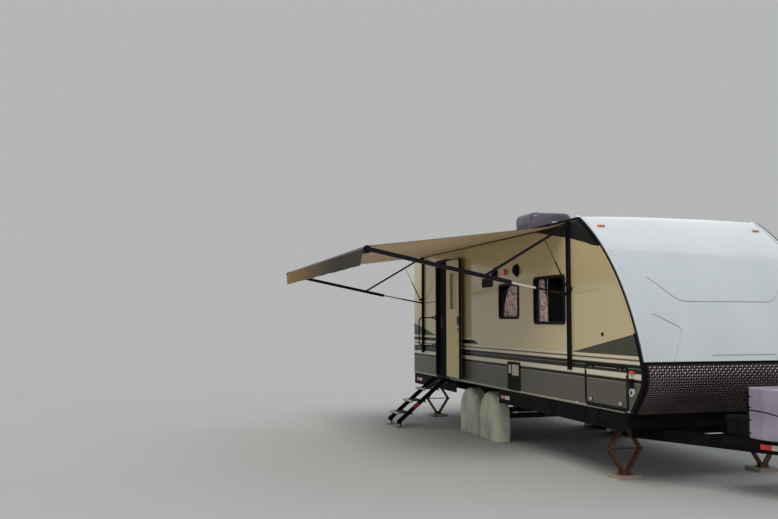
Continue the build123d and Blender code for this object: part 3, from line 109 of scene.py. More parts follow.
class Finish(Shading):
    """One finish: its principled shader and the nodes that vary it over the surface."""

    def __init__(self, name, colour, roughness, **settings):
        self.material = bpy.data.materials.new(name)
        self.material.use_nodes = True
        super().__init__(self.material.node_tree)
        self.shader = self.tree.nodes["Principled BSDF"]
        self.colour = (*colour, 1)
        self.shader.inputs["Base Color"].default_value = self.colour
        self.shader.inputs["Roughness"].default_value = roughness
        for socket, value in settings.items():
            self.shader.inputs[socket.replace("_", " ")].default_value = value
        self.point = self.node("ShaderNodeTexCoord", {}, {}, "Object")

    def feed(self, socket, wire):
        self.tree.links.new(wire.socket, self.shader.inputs[socket])

    def along(self, axis):
        return self.node("ShaderNodeSeparateXYZ", {}, {"Vector": self.point}, axis)

    def grain(self, scale, stretch=(1, 1, 1), detail=3.0):
        place = self.node("ShaderNodeMapping", {}, {"Vector": self.point, "Scale": stretch})
        settings = {"Vector": place, "Scale": scale, "Detail": detail, "Roughness": 0.55}
        return self.node("ShaderNodeTexNoise", {}, settings)

    def cells(self, scale):
        return self.node("ShaderNodeTexVoronoi", {}, {"Vector": self.point, "Scale": scale})

    def steps(self, value, low, high):
        return self.node("ShaderNodeMapRange", {}, {"Value": value, "From Min": low, "From Max": high})

    def blend(self, factor, first, second):
        return self.node("ShaderNodeMix", {"data_type": "RGBA"}, {0: factor, 6: first, 7: second}, 2)

    def tint(self, colour, factor, base=None):
        """Blends the finish's colour towards another one and feeds the result."""
        mixed = self.blend(factor, base or self.colour, (*colour, 1))
        self.feed("Base Color", mixed)
        return mixed

    def relief(self, height, depth, strength):
        bump = self.node("ShaderNodeBump", {}, {"Height": height, "Distance": depth, "Strength": strength})
        self.feed("Normal", bump)

    def mottle(self, colour, low, high, *grain, **finer):
        """Patches of a second colour, coming in as the grain rises from the low to the high level."""
        return self.tint(colour, self.steps(self.grain(*grain, **finer), low, high))

    def uneven_gloss(self, least, spread, *grain):
        """Roughness that wanders upward from its least value."""
        self.feed("Roughness", least + self.grain(*grain) * spread)

    def grained(self, depth, strength, *grain, **finer):
        """Fine unevenness that was woven, pressed or moulded into the surface."""
        self.relief(self.grain(*grain, **finer), depth, strength)


def place_mesh(name, points, faces, finish, body, slot, smooth=False, stands_for=()):
    """Mesh object from points and faces, finished, seated on its body."""
    mesh = bpy.data.meshes.new(name)
    mesh.from_pydata([tuple(p) for p in points], [], [tuple(f) for f in faces])
    mesh.materials.append(finish.material)
    mesh.validate()
    work = bmesh.new()
    work.from_mesh(mesh)
    bmesh.ops.recalc_face_normals(work, faces=work.faces)
    work.to_mesh(mesh)
    work.free()
    made = bpy.data.objects.new(name, mesh)
    bpy.context.scene.collection.objects.link(made)
    mesh.shade_smooth() if smooth else mesh.shade_flat()
    if body:
        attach(made, body)
    if stands_for:
        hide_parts(*stands_for)
    return made


def finish_node(names, finish):
    """Gives the named CAD nodes their finish."""
    for name in names.split():
        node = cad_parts[name]
        node.data.materials.clear()
        node.data.materials.append(finish.material)


floor_finish = Finish("studio_floor", (0.42, 0.425, 0.42), 0.9, Specular_IOR_Level=0.1)
floor_finish.tint((0.395, 0.40, 0.395), floor_finish.grain(0.35))
floor_half = 300
floor_corners = [(floor_half * a, floor_half * b, 0) for a, b in ((-1, -1), (1, -1), (1, 1), (-1, 1))]
place_mesh("studio_floor", floor_corners, [(0, 1, 2, 3)], floor_finish, None, None)

lens = bpy.data.cameras.new("camera")
lens.sensor_width, lens.lens = sensor, focal_px * sensor / photo_width
lens.clip_end = camera_reach
camera = bpy.data.objects.new("camera", lens)
camera.location = camera_at
ahead = Vector((-cos(camera_yaw) * cos(camera_pitch), sin(camera_yaw) * cos(camera_pitch), sin(camera_pitch)))
camera.rotation_euler = ahead.to_track_quat("-Z", "Y").to_euler()
bpy.context.scene.collection.objects.link(camera)
bpy.context.scene.camera = camera

world = bpy.data.worlds.new("studio")
bpy.context.scene.world = world
world.use_nodes = True
studio = Shading(world.node_tree)
direct, mirrored, through = [studio.node("ShaderNodeLightPath", {}, {}, f"Is {ray} Ray")
                             for ray in ("Camera", "Glossy", "Transmission")]
sky, wall = [studio.node("ShaderNodeBackground", {}, {"Color": colour, "Strength": strength})
             for colour, strength in (((0.93, 0.97, 1.0, 1), 0.60), ((0.46, 0.47, 0.47, 1), 1.0))]
surround = studio.node("ShaderNodeMixShader", {}, {0: direct | mirrored | through, 1: sky, 2: wall})
studio.tree.links.new(surround.socket, studio.tree.nodes["World Output"].inputs["Surface"])
suns = [("key", (0.45, -0.42, 0.80), 1.75, 38, (1.0, 0.97, 0.90)),
        ("fill", (-0.50, 0.60, 0.55), 0.55, 60, (0.95, 0.97, 1.0))]
for name, source, power, spread, colour in suns:
    light = bpy.data.lights.new(name, "SUN")
    light.energy, light.angle, light.color = power, radians(spread), colour
    lamp = bpy.data.objects.new(name, light)
    lamp.rotation_euler = Vector(source).to_track_quat("Z", "Y").to_euler()
    bpy.context.scene.collection.objects.link(lamp)
bpy.context.scene.view_settings.view_transform = "Standard"

# Side and rear walls: laminated panels with a glossy champagne gelcoat skin, bonded to the frame.
# The skin has a faint orange peel, and road dust lies thicker towards its foot.
half_width, nose_x, rear_x, outline_top, lining_y = 1.22, -1.02, -8.64, 2.97, 1.19
champagne_tone = (0.53, 0.43, 0.235)
champagne = Finish("champagne_gelcoat", champagne_tone, 0.20, Coat_Weight=0.22, Coat_Roughness=0.05)
dust = champagne.steps(champagne.along(2), 1.35, 0.75) * champagne.grain(1.8, (1, 1, 2.5))
dusty = champagne.tint((0.42, 0.35, 0.22), dust * 0.55)
# The walls' inner faces are painted near black: painted shade of the unlit inside.
painted_shade_indoors = (champagne.along(1) * champagne.along(1) < lining_y ** 2) * (champagne.along(0) > rear_x + 0.03)
champagne.tint((0.018, 0.014, 0.011), painted_shade_indoors, dusty)
champagne.feed("Roughness", 0.14 + dust * 0.25)
champagne.grained(0.0012, 0.35, 26, detail=1.0)
finish_node("sidewall_kerb sidewall_road rear_wall", champagne)

board = Finish("floor_board", (0.05, 0.035, 0.022), 0.6)
board.tint((0.09, 0.062, 0.04), board.grain(3, (0.4, 12, 12)))
board.grained(0.002, 0.4, 6, (0.3, 14, 14))
finish_node("floor", board)

# Printed stripes and swooshes: thin cast vinyl laid on the walls, cut at the doors and frames.
# Each colour is its own film, 0.7 mm proud of the skin.
film_out, black_film_gloss, film_gloss = 0.0007, 0.08, 0.18
films = {"black": (0.007, 0.007, 0.007), "charcoal": (0.018, 0.017, 0.015), "white": (0.66, 0.62, 0.50),
         "brown": (0.10, 0.062, 0.030), "grey": (0.098, 0.088, 0.070), "olive": (0.055, 0.055, 0.028)}
film_finish = {}
for name, colour in films.items():
    gloss = black_film_gloss if max(colour) < 0.02 else film_gloss
    film = Finish("vinyl_" + name, colour, 0.3, Specular_IOR_Level=gloss)
    film.tint(tuple(0.82 * c + 0.004 for c in colour), film.grain(2.2, (1, 1, 1.6)))
    film.uneven_gloss(0.24, 0.14, 3.0)
    film_finish[name] = film
crest_radius, crest_turn = 0.565, radians(32)
face_radius, face_turn = 2.820, radians(42)
knee_radius, knee_turn = 0.347, radians(53.5)
face_end, knee_end = crest_turn + face_turn, crest_turn + face_turn + knee_turn
nose_reach = (crest_radius * sin(crest_turn) + face_radius * (sin(face_end) - sin(crest_turn))
              + knee_radius * (1 - sin(face_end)))
crest_x = nose_x - nose_reach


def nose_edge(z):
    """X of the body's front outline at a height: crest arc, face arc, knee arc, then a straight foot."""
    drop = outline_top - z
    crest_drop = crest_radius * (1 - cos(crest_turn))
    face_drop = crest_drop + face_radius * (cos(crest_turn) - cos(face_end))
    knee_drop = face_drop + knee_radius * (cos(face_end) - cos(knee_end))
    if drop <= crest_drop:
        return crest_x + sqrt(max(crest_radius ** 2 - (crest_radius - drop) ** 2, 0))
    start = crest_x + crest_radius * sin(crest_turn)
    if drop <= face_drop:
        level = cos(crest_turn) - (drop - crest_drop) / face_radius
        return start + face_radius * (sqrt(1 - level * level) - sin(crest_turn))
    start += face_radius * (sin(face_end) - sin(crest_turn))
    if drop <= knee_drop:
        level = cos(face_end) - (drop - face_drop) / knee_radius
        return start + knee_radius * (sqrt(1 - level * level) - sin(face_end))
    start += knee_radius * (sin(knee_end) - sin(face_end))
    return start + (drop - knee_drop) / tan(knee_end)


def film_on_wall(name, outline, colour, side, out=film_out, body="trailer"):
    """Flat film with an X and Z outline on a side wall."""
    points = [(x, side * (half_width + out), z) for x, z in outline]
    made = place_mesh(name, points, [range(len(points))], film_finish[colour], body, "champagne_panel")
    work = bmesh.new()
    work.from_mesh(made.data)
    bmesh.ops.triangulate(work, faces=work.faces)
    work.to_mesh(made.data)
    work.free()
    return made


sides = ((-1, "kerb"), (1, "road"))
moulding, film_rear_x = 0.030, rear_x + 0.002
stripes = [("sill_white", 1.439, 1.465, "white", True), ("upper_black", 1.375, 1.430, "black", True),
           ("light_line", 1.337, 1.359, "white", False), ("brown_line", 1.315, 1.330, "brown", False),
           ("light_band", 1.284, 1.306, "white", False), ("middle_black", 1.240, 1.277, "black", False),
           ("charcoal_band", 1.188, 1.237, "charcoal", False), ("white_band", 1.137, 1.184, "white", False),
           ("lower_black", 1.092, 1.128, "black", False), ("skirt_grey", 0.794, 1.088, "grey", False)]
tip_x, tip_z, tip_lean = -5.62, 1.430, 3.2
leaf_film_out = 0.0047
luggage_gap, luggage_gap_top = (-2.193, -1.332), 1.230
leaf_x0, leaf_x1, leaf_z0, leaf_z1 = -2.188, -1.337, 0.815, 1.225
full_height = 9.0
gaps = {"kerb": [((-7.407, -6.653), full_height), ((-4.360, -3.956), 1.170), (luggage_gap, luggage_gap_top)],
        "road": [((-6.70, -6.14), 1.18), ((-3.62, -3.22), 1.17), (luggage_gap, luggage_gap_top)]}


def trim_edge(*levels):
    """Outline points along the nose moulding's rear edge at these heights."""
    return [(nose_edge(z) - moulding, z) for z in levels]


for side, word in sides:
    for name, z0, z1, colour, rear_only in stripes:
        slanted_tip = rear_only and side < 0
        front_x = tip_x if slanted_tip else nose_edge((z0 + z1) / 2) - moulding
        spans, start = [], film_rear_x
        for gap_start, gap_end in sorted(gap for gap, top in gaps[word] if z0 < top):
            if gap_start < front_x:
                spans.append((start, gap_start))
                start = gap_end
        if front_x > start:
            spans.append((start, front_x))
        for number, (a, b) in enumerate(spans):
            outline = [(a, z0), (b, z0), (b, z1), (a, z1)]
            if b == front_x and slanted_tip:
                outline = [(a, z0), (b + (tip_z - z0) * tip_lean, z0), (b + (tip_z - z1) * tip_lean, z1), (a, z1)]
            elif b == front_x:
                levels = [z0 + (z1 - z0) * k / 16 for k in range(17)]
                levels = [z for z in levels if nose_edge(z) - moulding > a + 0.004]
                outline = [(a, levels[0])] + trim_edge(*levels) + [(a, z1)]
            film_on_wall(f"{name}_{word}_{number}", outline, colour, side)
        low, high = max(z0, leaf_z0 + 0.002), min(z1, leaf_z1 - 0.004)
        if high > low:
            on_leaf = [(leaf_x0, low), (leaf_x1, low), (leaf_x1, high), (leaf_x0, high)]
            film_on_wall(f"{name}_hatch_{word}", on_leaf, colour, side, leaf_film_out, "luggage_door_" + word)
    wedge_x, wedge_z = -2.50, 1.368
    wedge_reach = nose_edge(wedge_z) - moulding - wedge_x
    wedge = [(wedge_x, wedge_z)] + [(wedge_x + wedge_reach * k / 6, 1.366) for k in range(1, 7)]
    film_on_wall(f"front_wedge_{word}", wedge + trim_edge(1.42, 1.47, 1.53, 1.59), "olive", side)
    rear_wedge = [(film_rear_x, 1.468), (-7.42, 1.468), (-7.75, 1.54), (film_rear_x, 1.68)]
    film_on_wall(f"rear_wedge_{word}", rear_wedge, "olive", side)
    arc = [(-3.55, 2.87), (-3.10, 2.79), (-2.51, 2.69), (-2.15, 2.61), (-1.99, 2.565)]
    arc = [(x, z) for x, z in arc if x < nose_edge(z) - moulding - 0.01]
    swoosh = arc + trim_edge(2.545, 2.58, 2.62, 2.68, 2.74, 2.80, 2.86, 2.888) + [(-3.55, 2.888)]
    film_on_wall(f"crest_swoosh_{word}", swoosh, "charcoal", side)

# Front cap: one moulded shell in high-gloss white gelcoat, screwed to the wall panels; its cool cast is painted sky
# light.
# Its lower half is a guard of dark tread plate with raised lozenges.
cap_white = (0.52, 0.56, 0.595)
gelcoat = Finish("white_gelcoat", cap_white, 0.14, Coat_Weight=0.6, Coat_Roughness=0.03)
# Darker bluish patches over the white: painted dappled shade.
gelcoat.tint((0.41, 0.45, 0.485), gelcoat.steps(gelcoat.grain(1.3, (1, 1, 0.5)), 0.45, 0.8) * 0.5)
gelcoat.uneven_gloss(0.09, 0.08, 2.5)
finish_node("front_cap", gelcoat)

tread = Finish("tread_plate", (0.020, 0.018, 0.022), 0.36, Metallic=0.75)
tread.mottle((0.055, 0.036, 0.034), 0.4, 0.7, 1.4)
tread.uneven_gloss(0.30, 0.25, 14.0)
finish_node("stone_guard", tread)
lozenge_long, lozenge_wide, lozenge_high, lozenge_sunk = 0.028, 0.010, 0.0028, 0.0004
plate_pitch, plate_margin, plate_foot, plate_head, slope_step = 0.0285, 0.075, 0.785, 1.288, 0.004
lozenges_across = int(2 * (half_width - plate_margin) / plate_pitch) + 1
points, faces = [], []
z, row = plate_foot, 0
while z < plate_head:
    x, nearby = nose_edge(z), nose_edge(z + slope_step)
    up = Vector((nearby - x, 0, slope_step)).normalized()
    outward = Vector((up.z, 0, -up.x))
    for column in range(lozenges_across):
        tilt = radians(45 if (row + column) % 2 else -45)
        long_way = Vector((0, 1, 0)) * cos(tilt) + up * sin(tilt)
        cross_way = Vector((0, -1, 0)) * sin(tilt) + up * cos(tilt)
        centre = Vector((x, -half_width + plate_margin + column * plate_pitch, z))
        base = len(points)
        for a, b, h in ((-1, 0, 0), (0, -1, 0), (1, 0, 0), (0, 1, 0), (-0.35, 0, 1), (0.35, 0, 1)):
            points.append(centre + long_way * a * lozenge_long / 2 + cross_way * b * lozenge_wide / 2
                          + outward * (h * lozenge_high - lozenge_sunk))
        faces += [(base, base + 1, base + 4), (base + 1, base + 5, base + 4), (base + 1, base + 2, base + 5),
                  (base + 2, base + 3, base + 5), (base + 3, base + 4, base + 5), (base + 3, base, base + 4)]
    z += plate_pitch * up.z
    row += 1
# The lozenges are painted pale purple-grey as a painted sky glint on the dark plate, lighter high up as painted light
# and darker low down as painted shade.
raised = Finish("tread_lozenges", (0.50, 0.42, 0.48), 0.32, Metallic=0.8)
raised.tint((0.17, 0.11, 0.10), raised.steps(raised.along(2) + raised.grain(1.4) * 0.5, 1.45, 1.15))
place_mesh("tread_lozenges", points, faces, raised, "trailer", "diamond_plate")

# Edge sealant: a folded strip that laps from the wall onto the cap, white above the guard and black beside it.
# It is pressed down under the corner moulding.


def grid_faces(rows, columns):
    """Faces of a grid of points that were listed row by row."""
    stride = columns + 1
    return [(r * stride + c, r * stride + c + 1, (r + 1) * stride + c + 1, (r + 1) * stride + c)
            for r in range(rows) for c in range(columns)]


guard_top, edge_foot, edge_head, edge_steps = 1.300, 0.775, outline_top - 0.02, 89
edge_white = Finish("edge_gelcoat", cap_white, 0.2)
edge_white.tint((0.007, 0.007, 0.008), edge_white.along(2) < guard_top)
for side, word in sides:
    points = []
    for step in range(edge_steps + 1):
        z = edge_foot + (edge_head - edge_foot) * step / edge_steps
        x, outer, inner = nose_edge(z), side * (half_width + 0.0006), side * 1.1705
        points += [Vector((x - 0.012, outer, z)), Vector((x + 0.0012, outer, z)), Vector((x + 0.0012, inner, z))]
    place_mesh("edge_sealant_" + word, points, grid_faces(edge_steps, 2), edge_white, "trailer", "black_moulding")

# Edge mouldings and gutters: satin black plastic, screwed over the panel joints, with a pale blue-grey line along
# them on the cap above the guard.
# Where a moulding laps far onto cap or wall, it takes the colour of the panel under it.
satin_black = Finish("satin_black_plastic", (0.005, 0.005, 0.006), 0.42, Specular_IOR_Level=0.03)
satin_black.tint((0.013, 0.012, 0.011), satin_black.grain(5, (1, 1, 1.5)))
satin_black.uneven_gloss(0.34, 0.22, 9)
satin_black.grained(0.0004, 0.3, 220, detail=1.0)
finish_node("window_frames hatch_frames door_frame", satin_black)
corner_trim = Finish("corner_trim", (0.005, 0.005, 0.006), 0.40, Specular_IOR_Level=0.03)
across_trim = corner_trim.along(1) * corner_trim.along(1)
lap_y, pale_line_y0, pale_line_y1, trim_leg = 1.205, 1.210, 1.215, 0.013
on_cap = (corner_trim.along(2) > guard_top + 0.012) * (corner_trim.along(0) > crest_x - 0.3)
# A pale blue-grey line along the moulding on the cap, above the guard.
pale_line = (across_trim > pale_line_y0 ** 2) * (across_trim < pale_line_y1 ** 2) * on_cap
lined = corner_trim.tint((0.19, 0.21, 0.24), pale_line)
lapped_cap = corner_trim.tint(cap_white, (across_trim < lap_y ** 2) * on_cap, lined)
face_centre_x = crest_x + (crest_radius - face_radius) * sin(crest_turn)
face_centre_z = outline_top - crest_radius - (face_radius - crest_radius) * cos(crest_turn)
off_x, off_z = corner_trim.along(0) - face_centre_x, corner_trim.along(2) - face_centre_z
inner_leg = (off_x * off_x + off_z * off_z < (face_radius - trim_leg) ** 2) * (corner_trim.along(2) > 1.60)
inner_leg = inner_leg * (corner_trim.along(2) < 2.55) * (corner_trim.along(0) > crest_x)
corner_trim.tint(champagne_tone, inner_leg, lapped_cap)
corner_trim.uneven_gloss(0.34, 0.22, 9)
finish_node("body_mouldings", corner_trim)
trim = Finish("sill_trim", (0.42, 0.41, 0.38), 0.35, Metallic=0.7)
trim.tint((0.30, 0.28, 0.24), trim.grain(12, (0.2, 1, 1)))


def box_mesh(x0, x1, y0, y1, z0, z1):
    """Points and faces of an upright box."""
    corners = [Vector((x, y, z)) for z in (z0, z1) for y in (y0, y1) for x in (x0, x1)]
    return corners, [(0, 1, 3, 2), (4, 6, 7, 5), (0, 4, 5, 1), (2, 3, 7, 6), (0, 2, 6, 4), (1, 5, 7, 3)]


def joined(parts):
    """One list of points and one of faces from several meshes."""
    points, faces = [], []
    for part_points, part_faces in parts:
        base = len(points)
        points += part_points
        faces += [tuple(base + i for i in face) for face in part_faces]
    return points, faces


trim_z0, trim_z1, trim_in, trim_out = 0.772, 0.783, 0.004, 0.0066
trim_rear, trim_front = rear_x + 0.01, -1.39
trim_runs = {"kerb": [(trim_rear, -7.412), (-6.648, trim_front)], "road": [(trim_rear, trim_front)]}
for side, word in sides:
    near, far = side * (half_width + trim_in), side * (half_width + trim_out)
    strips = [box_mesh(a, b, near, far, trim_z0, trim_z1) for a, b in trim_runs[word]]
    place_mesh("sill_trim_" + word, *joined(strips), trim, "trailer", "black_moulding")

# Windows: safety glass in black clamp frames, clear on the kerb side and darkly tinted on the road side.
# The big one has a sliding half in a pale sash.


def bevelled(made, width, segments=1):
    """Breaks every edge of a mesh object."""
    work = bmesh.new()
    work.from_mesh(made.data)
    bmesh.ops.bevel(work, geom=work.edges[:] + work.verts[:], offset=width, segments=segments, affect="EDGES",
                    profile=0.6)
    work.to_mesh(made.data)
    work.free()


clear_share, tint_share = 0.06, 0.80
tinted = Finish("tinted_glass", (0.004, 0.004, 0.005), 0.03, Alpha=clear_share, Specular_IOR_Level=0.3)
tinted.tint((0.008, 0.008, 0.008), tinted.grain(1.5))
tinted.uneven_gloss(0.02, 0.03, 2.0)
tinted.feed("Alpha", clear_share + (tinted.along(1) > 0.0) * tint_share)
finish_node("window_glass", tinted)
# The door's pane is opaque olive, painted as the shaded wall seen through it, and darker towards its hinge side as
# painted shade.
shaded_door_pane = Finish("door_light", (0.30, 0.27, 0.13), 0.22)
shaded_door_pane.tint((0.20, 0.17, 0.08), shaded_door_pane.steps(shaded_door_pane.along(0), -6.33, -6.46))
finish_node("door_window", shaded_door_pane)
sash = Finish("sash_frame", (0.36, 0.30, 0.27), 0.38, Metallic=0.3)
sash.tint((0.20, 0.17, 0.15), sash.grain(20))
sash_x, sash_half, sash_out = -3.104, 0.008, -half_width - 0.0135
sash_bar = box_mesh(sash_x - sash_half, sash_x + sash_half, sash_out, sash_out + 0.002, 1.712, 2.248)
bevelled(place_mesh("sash_bar", *sash_bar, sash, "trailer", "black_moulding"), 0.0008)

# Curtains: short cotton cloth with dark specks, gathered on a rail behind two kerb windows.
# Each is drawn to one side at its top and hangs wider at its foot.
curtain_tone = (0.95, 0.68, 0.62)
curtain_cloth = Finish("curtain_cloth", curtain_tone, 0.85, Sheen_Weight=0.25)
specks = curtain_cloth.cells(38) < 0.42
blotch = curtain_cloth.steps(curtain_cloth.grain(26, detail=2.0), 0.36, 0.46)
dark_specks = curtain_cloth.blend(specks * blotch, (*curtain_tone, 1), (0.06, 0.03, 0.04, 1))
curtain_cloth.tint((0.86, 0.68, 0.62), curtain_cloth.steps(curtain_cloth.grain(38), 0.55, 0.8), dark_specks)
curtain_cloth.grained(0.0006, 0.5, 400, detail=1.0)
curtain_low, curtain_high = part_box("curtains")
curtain_y = (curtain_low.y + curtain_high.y) / 2
curtain_sizes = [("curtain_rear", -4.690, -3.992, -3.992, 1.722, 2.300, 0.52, 7, ["curtains"]),
                 ("curtain_front", -3.575, -3.240, -3.575, 1.660, 2.300, 0.58, 4, [])]
curtain_columns, curtain_rows, gathered_share = 90, 40, 0.86
for name, x0, x1, gather_x, z0, z1, top_share, pleats, stands_for in curtain_sizes:
    points, widths = [], []
    for row in range(curtain_rows + 1):
        v = row / curtain_rows
        share = 1 - (1 - top_share) * v ** 1.6
        depth = 0.0055 + 0.0045 * v
        level = z0 + (z1 - z0) * v
        line = []
        for column in range(curtain_columns + 1):
            u = column / curtain_columns
            x = x0 + (x1 - x0) * u
            x = gather_x + (x - gather_x) * share
            wave = sin(2 * pi * (pleats * u + 0.12 * sin(5 * u + 2.1 * v)))
            y = curtain_y + depth * wave + 0.0012 * sin(17 * u + 6 * v)
            line.append(Vector((x, y, level + 0.004 * sin(2 * pi * pleats * u) * (1 - v))))
        widths.append(sum((b - a).length for a, b in zip(line, line[1:])))
        points += line
    curtain = place_mesh(name, points, grid_faces(curtain_rows, curtain_columns), curtain_cloth, "trailer",
                         "curtain_cloth", True, stands_for)

# Entry door: a foam-cored panel with a cream inner face in a black rim, folded back against the wall; the rim is
# partly a rubber edge seal and partly painted shadow.
# It hangs on three knuckle hinges; its champagne outer face carries the same stripes as the wall.
cream = Finish("cream_door", (0.60, 0.49, 0.19), 0.34, Specular_IOR_Level=0.3)
shade = cream.tint((0.52, 0.425, 0.17), cream.grain(2.4))
door_low, door_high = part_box("entry_door")
# Black rim on the inner face: partly the rubber edge seal, partly painted shadow in the gap beside the wall.
rim = 0.030
from_rear, from_front = cream.along(0) > door_low.x + rim, cream.along(0) < door_high.x - rim
from_foot, from_head = cream.along(2) > door_low.z + rim, cream.along(2) < door_high.z - rim
rimmed = cream.tint((0.006, 0.006, 0.006), 1 - from_rear * from_front * from_foot * from_head, shade)
door_slant, hinge_x, hinge_y, hinge_end, free_end, door_foot = 0.03496, -6.6644, -1.2604, -6.6600, -5.9850, 0.802
outer_level = hinge_y + door_slant * hinge_x
cream.tint(champagne_tone, cream.along(1) + cream.along(0) * door_slant > outer_level - 0.003, rimmed)
cream.grained(0.0006, 0.3, 120, detail=1.0)
finish_node("entry_door", cream)
fittings_black = Finish("moulded_black", (0.008, 0.008, 0.009), 0.45, Specular_IOR_Level=0.08)
fittings_black.tint((0.016, 0.016, 0.016), fittings_black.grain(25))
finish_node("door_hardware", fittings_black)
for name, z0, z1, colour, _ in stripes:
    low = max(z0, door_foot)
    corners = ((hinge_end, low), (free_end, low), (free_end, z1), (hinge_end, z1))
    outline = [(x, outer_level - x * door_slant + film_out, z) for x, z in corners]
    place_mesh(name + "_door", outline, [(0, 1, 2, 3)], film_finish[colour], "entry_door_leaf", "champagne_panel")
plate = box_mesh(-6.085, -5.995, -1.3262, -1.3248, 1.675, 1.790)
bevelled(place_mesh("latch_plate", *plate, fittings_black, "entry_door_leaf", "door_fittings"), 0.0004)

# Screen door: black mesh in a black tube frame, closed in the doorway, with a moulded slide handle.
# The handle's plate is screwed through the frame.
screen_black = Finish("screen_mesh", (0.004, 0.004, 0.004), 0.6, Specular_IOR_Level=0.02)
screen_black.tint((0.010, 0.010, 0.010), screen_black.cells(300))
finish_node("screen_door", screen_black)
handle_bars = [box_mesh(-7.205, -7.145, -1.1919, -1.1875, 1.64, 1.76),
               box_mesh(-7.215, -7.135, -1.1908, -1.187, 1.60, 1.80)]
bevelled(place_mesh("screen_latch", *joined(handle_bars), fittings_black, "screen", "screen_mesh"), 0.0004)

# Grab handle, stair and mounts: bent steel tube and pressed steel in black enamel, chipped at the edges.
# The treads carry coarse grit mats with a bright nosing.
enamel = Finish("black_enamel", (0.006, 0.006, 0.006), 0.40, Specular_IOR_Level=0.07)
enamel.mottle((0.035, 0.028, 0.022), 0.60, 0.85, 14)
enamel.uneven_gloss(0.28, 0.3, 20)
finish_node("grab_handle grab_brackets entry_stair stair_mount", enamel)
grit = Finish("tread_grit", (0.018, 0.018, 0.018), 0.95)
grit.mottle((0.07, 0.065, 0.06), 0.5, 0.7, 240, detail=2.0)
grit.relief(grit.cells(420), 0.0015, 0.9)
bright = Finish("bright_nosing", (0.62, 0.62, 0.60), 0.28, Metallic=0.9)
bright.tint((0.45, 0.43, 0.40), bright.grain(30, (0.3, 1, 1)))
tread_x0, tread_x1, mat_inset, nosing_top = -7.322, -6.828, 0.03, 0.0036
treads = [(-2.045, -1.825, 0.228), (-1.820, -1.600, 0.418), (-1.595, -1.375, 0.608)]
mats = [box_mesh(tread_x0 + mat_inset, tread_x1 - mat_inset, y0 + 0.012, y1 - mat_inset, z - 0.0005, z + 0.0016)
        for y0, y1, z in treads]
place_mesh("tread_mats", *joined(mats), grit, "stair", "black_steel")
noses = [box_mesh(tread_x0, tread_x1, y0 - 0.0232, y0 + 0.001, z + 0.0005, z + nosing_top) for y0, y1, z in treads]
noses += [box_mesh(tread_x0, tread_x1, y0 - 0.0234, y0 - 0.0222, z - 0.014, z + nosing_top) for y0, y1, z in treads]
place_mesh("bright_nosings", *joined(noses), bright, "stair", "black_steel")

# Reflector patches: red and white prismatic tape on skirts and drawbar, and a red patch on the near stringer.
# Each is a thin strip stuck on clean enamel.
patch_red = Finish("red_reflector", (0.55, 0.015, 0.012), 0.25, Coat_Weight=0.6)
patch_red.tint((0.35, 0.01, 0.01), patch_red.cells(180))
patch_white = Finish("white_reflector", (0.62, 0.62, 0.58), 0.25, Coat_Weight=0.6)
patch_white.tint((0.42, 0.42, 0.40), patch_white.cells(180))
skirt_tapes, tape_z0, tape_z1, red_share = [(-4.64, -4.34), (-8.51, -8.21)], 0.640, 0.690, 0.55
skirt_y = half_width - 0.008


def between(side, near, far):
    """Low and high Y of a layer between two distances from the trailer's middle, on one side."""
    return sorted((side * near, side * far))


for side, word in sides:
    layer = between(side, skirt_y - 0.0005, skirt_y + 0.0007)
    reds = [box_mesh(a, a + (b - a) * red_share, *layer, tape_z0, tape_z1) for a, b in skirt_tapes]
    whites = [box_mesh(a + (b - a) * red_share, b, *layer, tape_z0, tape_z1) for a, b in skirt_tapes]
    place_mesh("tape_red_" + word, *joined(reds), patch_red, "trailer", "black_steel")
    place_mesh("tape_white_" + word, *joined(whites), patch_white, "trailer", "black_steel")


def patch_on(name, corners, thickness, finish, body):
    """Patch from four corners, its thickness given as a vector."""
    faces = [(0, 1, 2, 3), (4, 7, 6, 5), (0, 4, 5, 1), (1, 5, 6, 2), (2, 6, 7, 3), (3, 7, 4, 0)]
    place_mesh(name, corners + [corner - thickness for corner in corners], faces, finish, body, "black_steel")


stringer_pitch, patch_half_run, patch_half_rise = radians(40.2), 0.055, 0.022
along_stringer = Vector((0, cos(stringer_pitch), sin(stringer_pitch)))
across_stringer = Vector((0, -along_stringer.z, along_stringer.y))
patch_centre = Vector((-6.7763, -1.780, 0.350))
patch_corners = [patch_centre + along_stringer * patch_half_run * a + across_stringer * patch_half_rise * b
                 for a, b in ((-1, -1), (1, -1), (1, 1), (-1, 1))]
patch_on("stringer_patch", patch_corners, Vector((0.0012, 0, 0)), patch_red, "stair")
bar_tape_z0, bar_tape_z1 = 0.505, 0.555
for side, word in sides:
    along_bar, away = Vector((0.9018, side * -0.4323, 0)), Vector((0.4323, side * 0.9018, 0))
    bar_foot = Vector((-1.640, side * 0.900, 0)) + away * 0.0257
    for name, near, far, finish in (("red", 1.32, 1.43, patch_red), ("white", 1.43, 1.53, patch_white)):
        corners = [bar_foot + along_bar * reach + Vector((0, 0, z)) for reach, z in
                   ((near, bar_tape_z0), (far, bar_tape_z0), (far, bar_tape_z1), (near, bar_tape_z1))]
        patch_on(f"drawbar_tape_{name}_{word}", corners, away * 0.001, finish, "trailer")

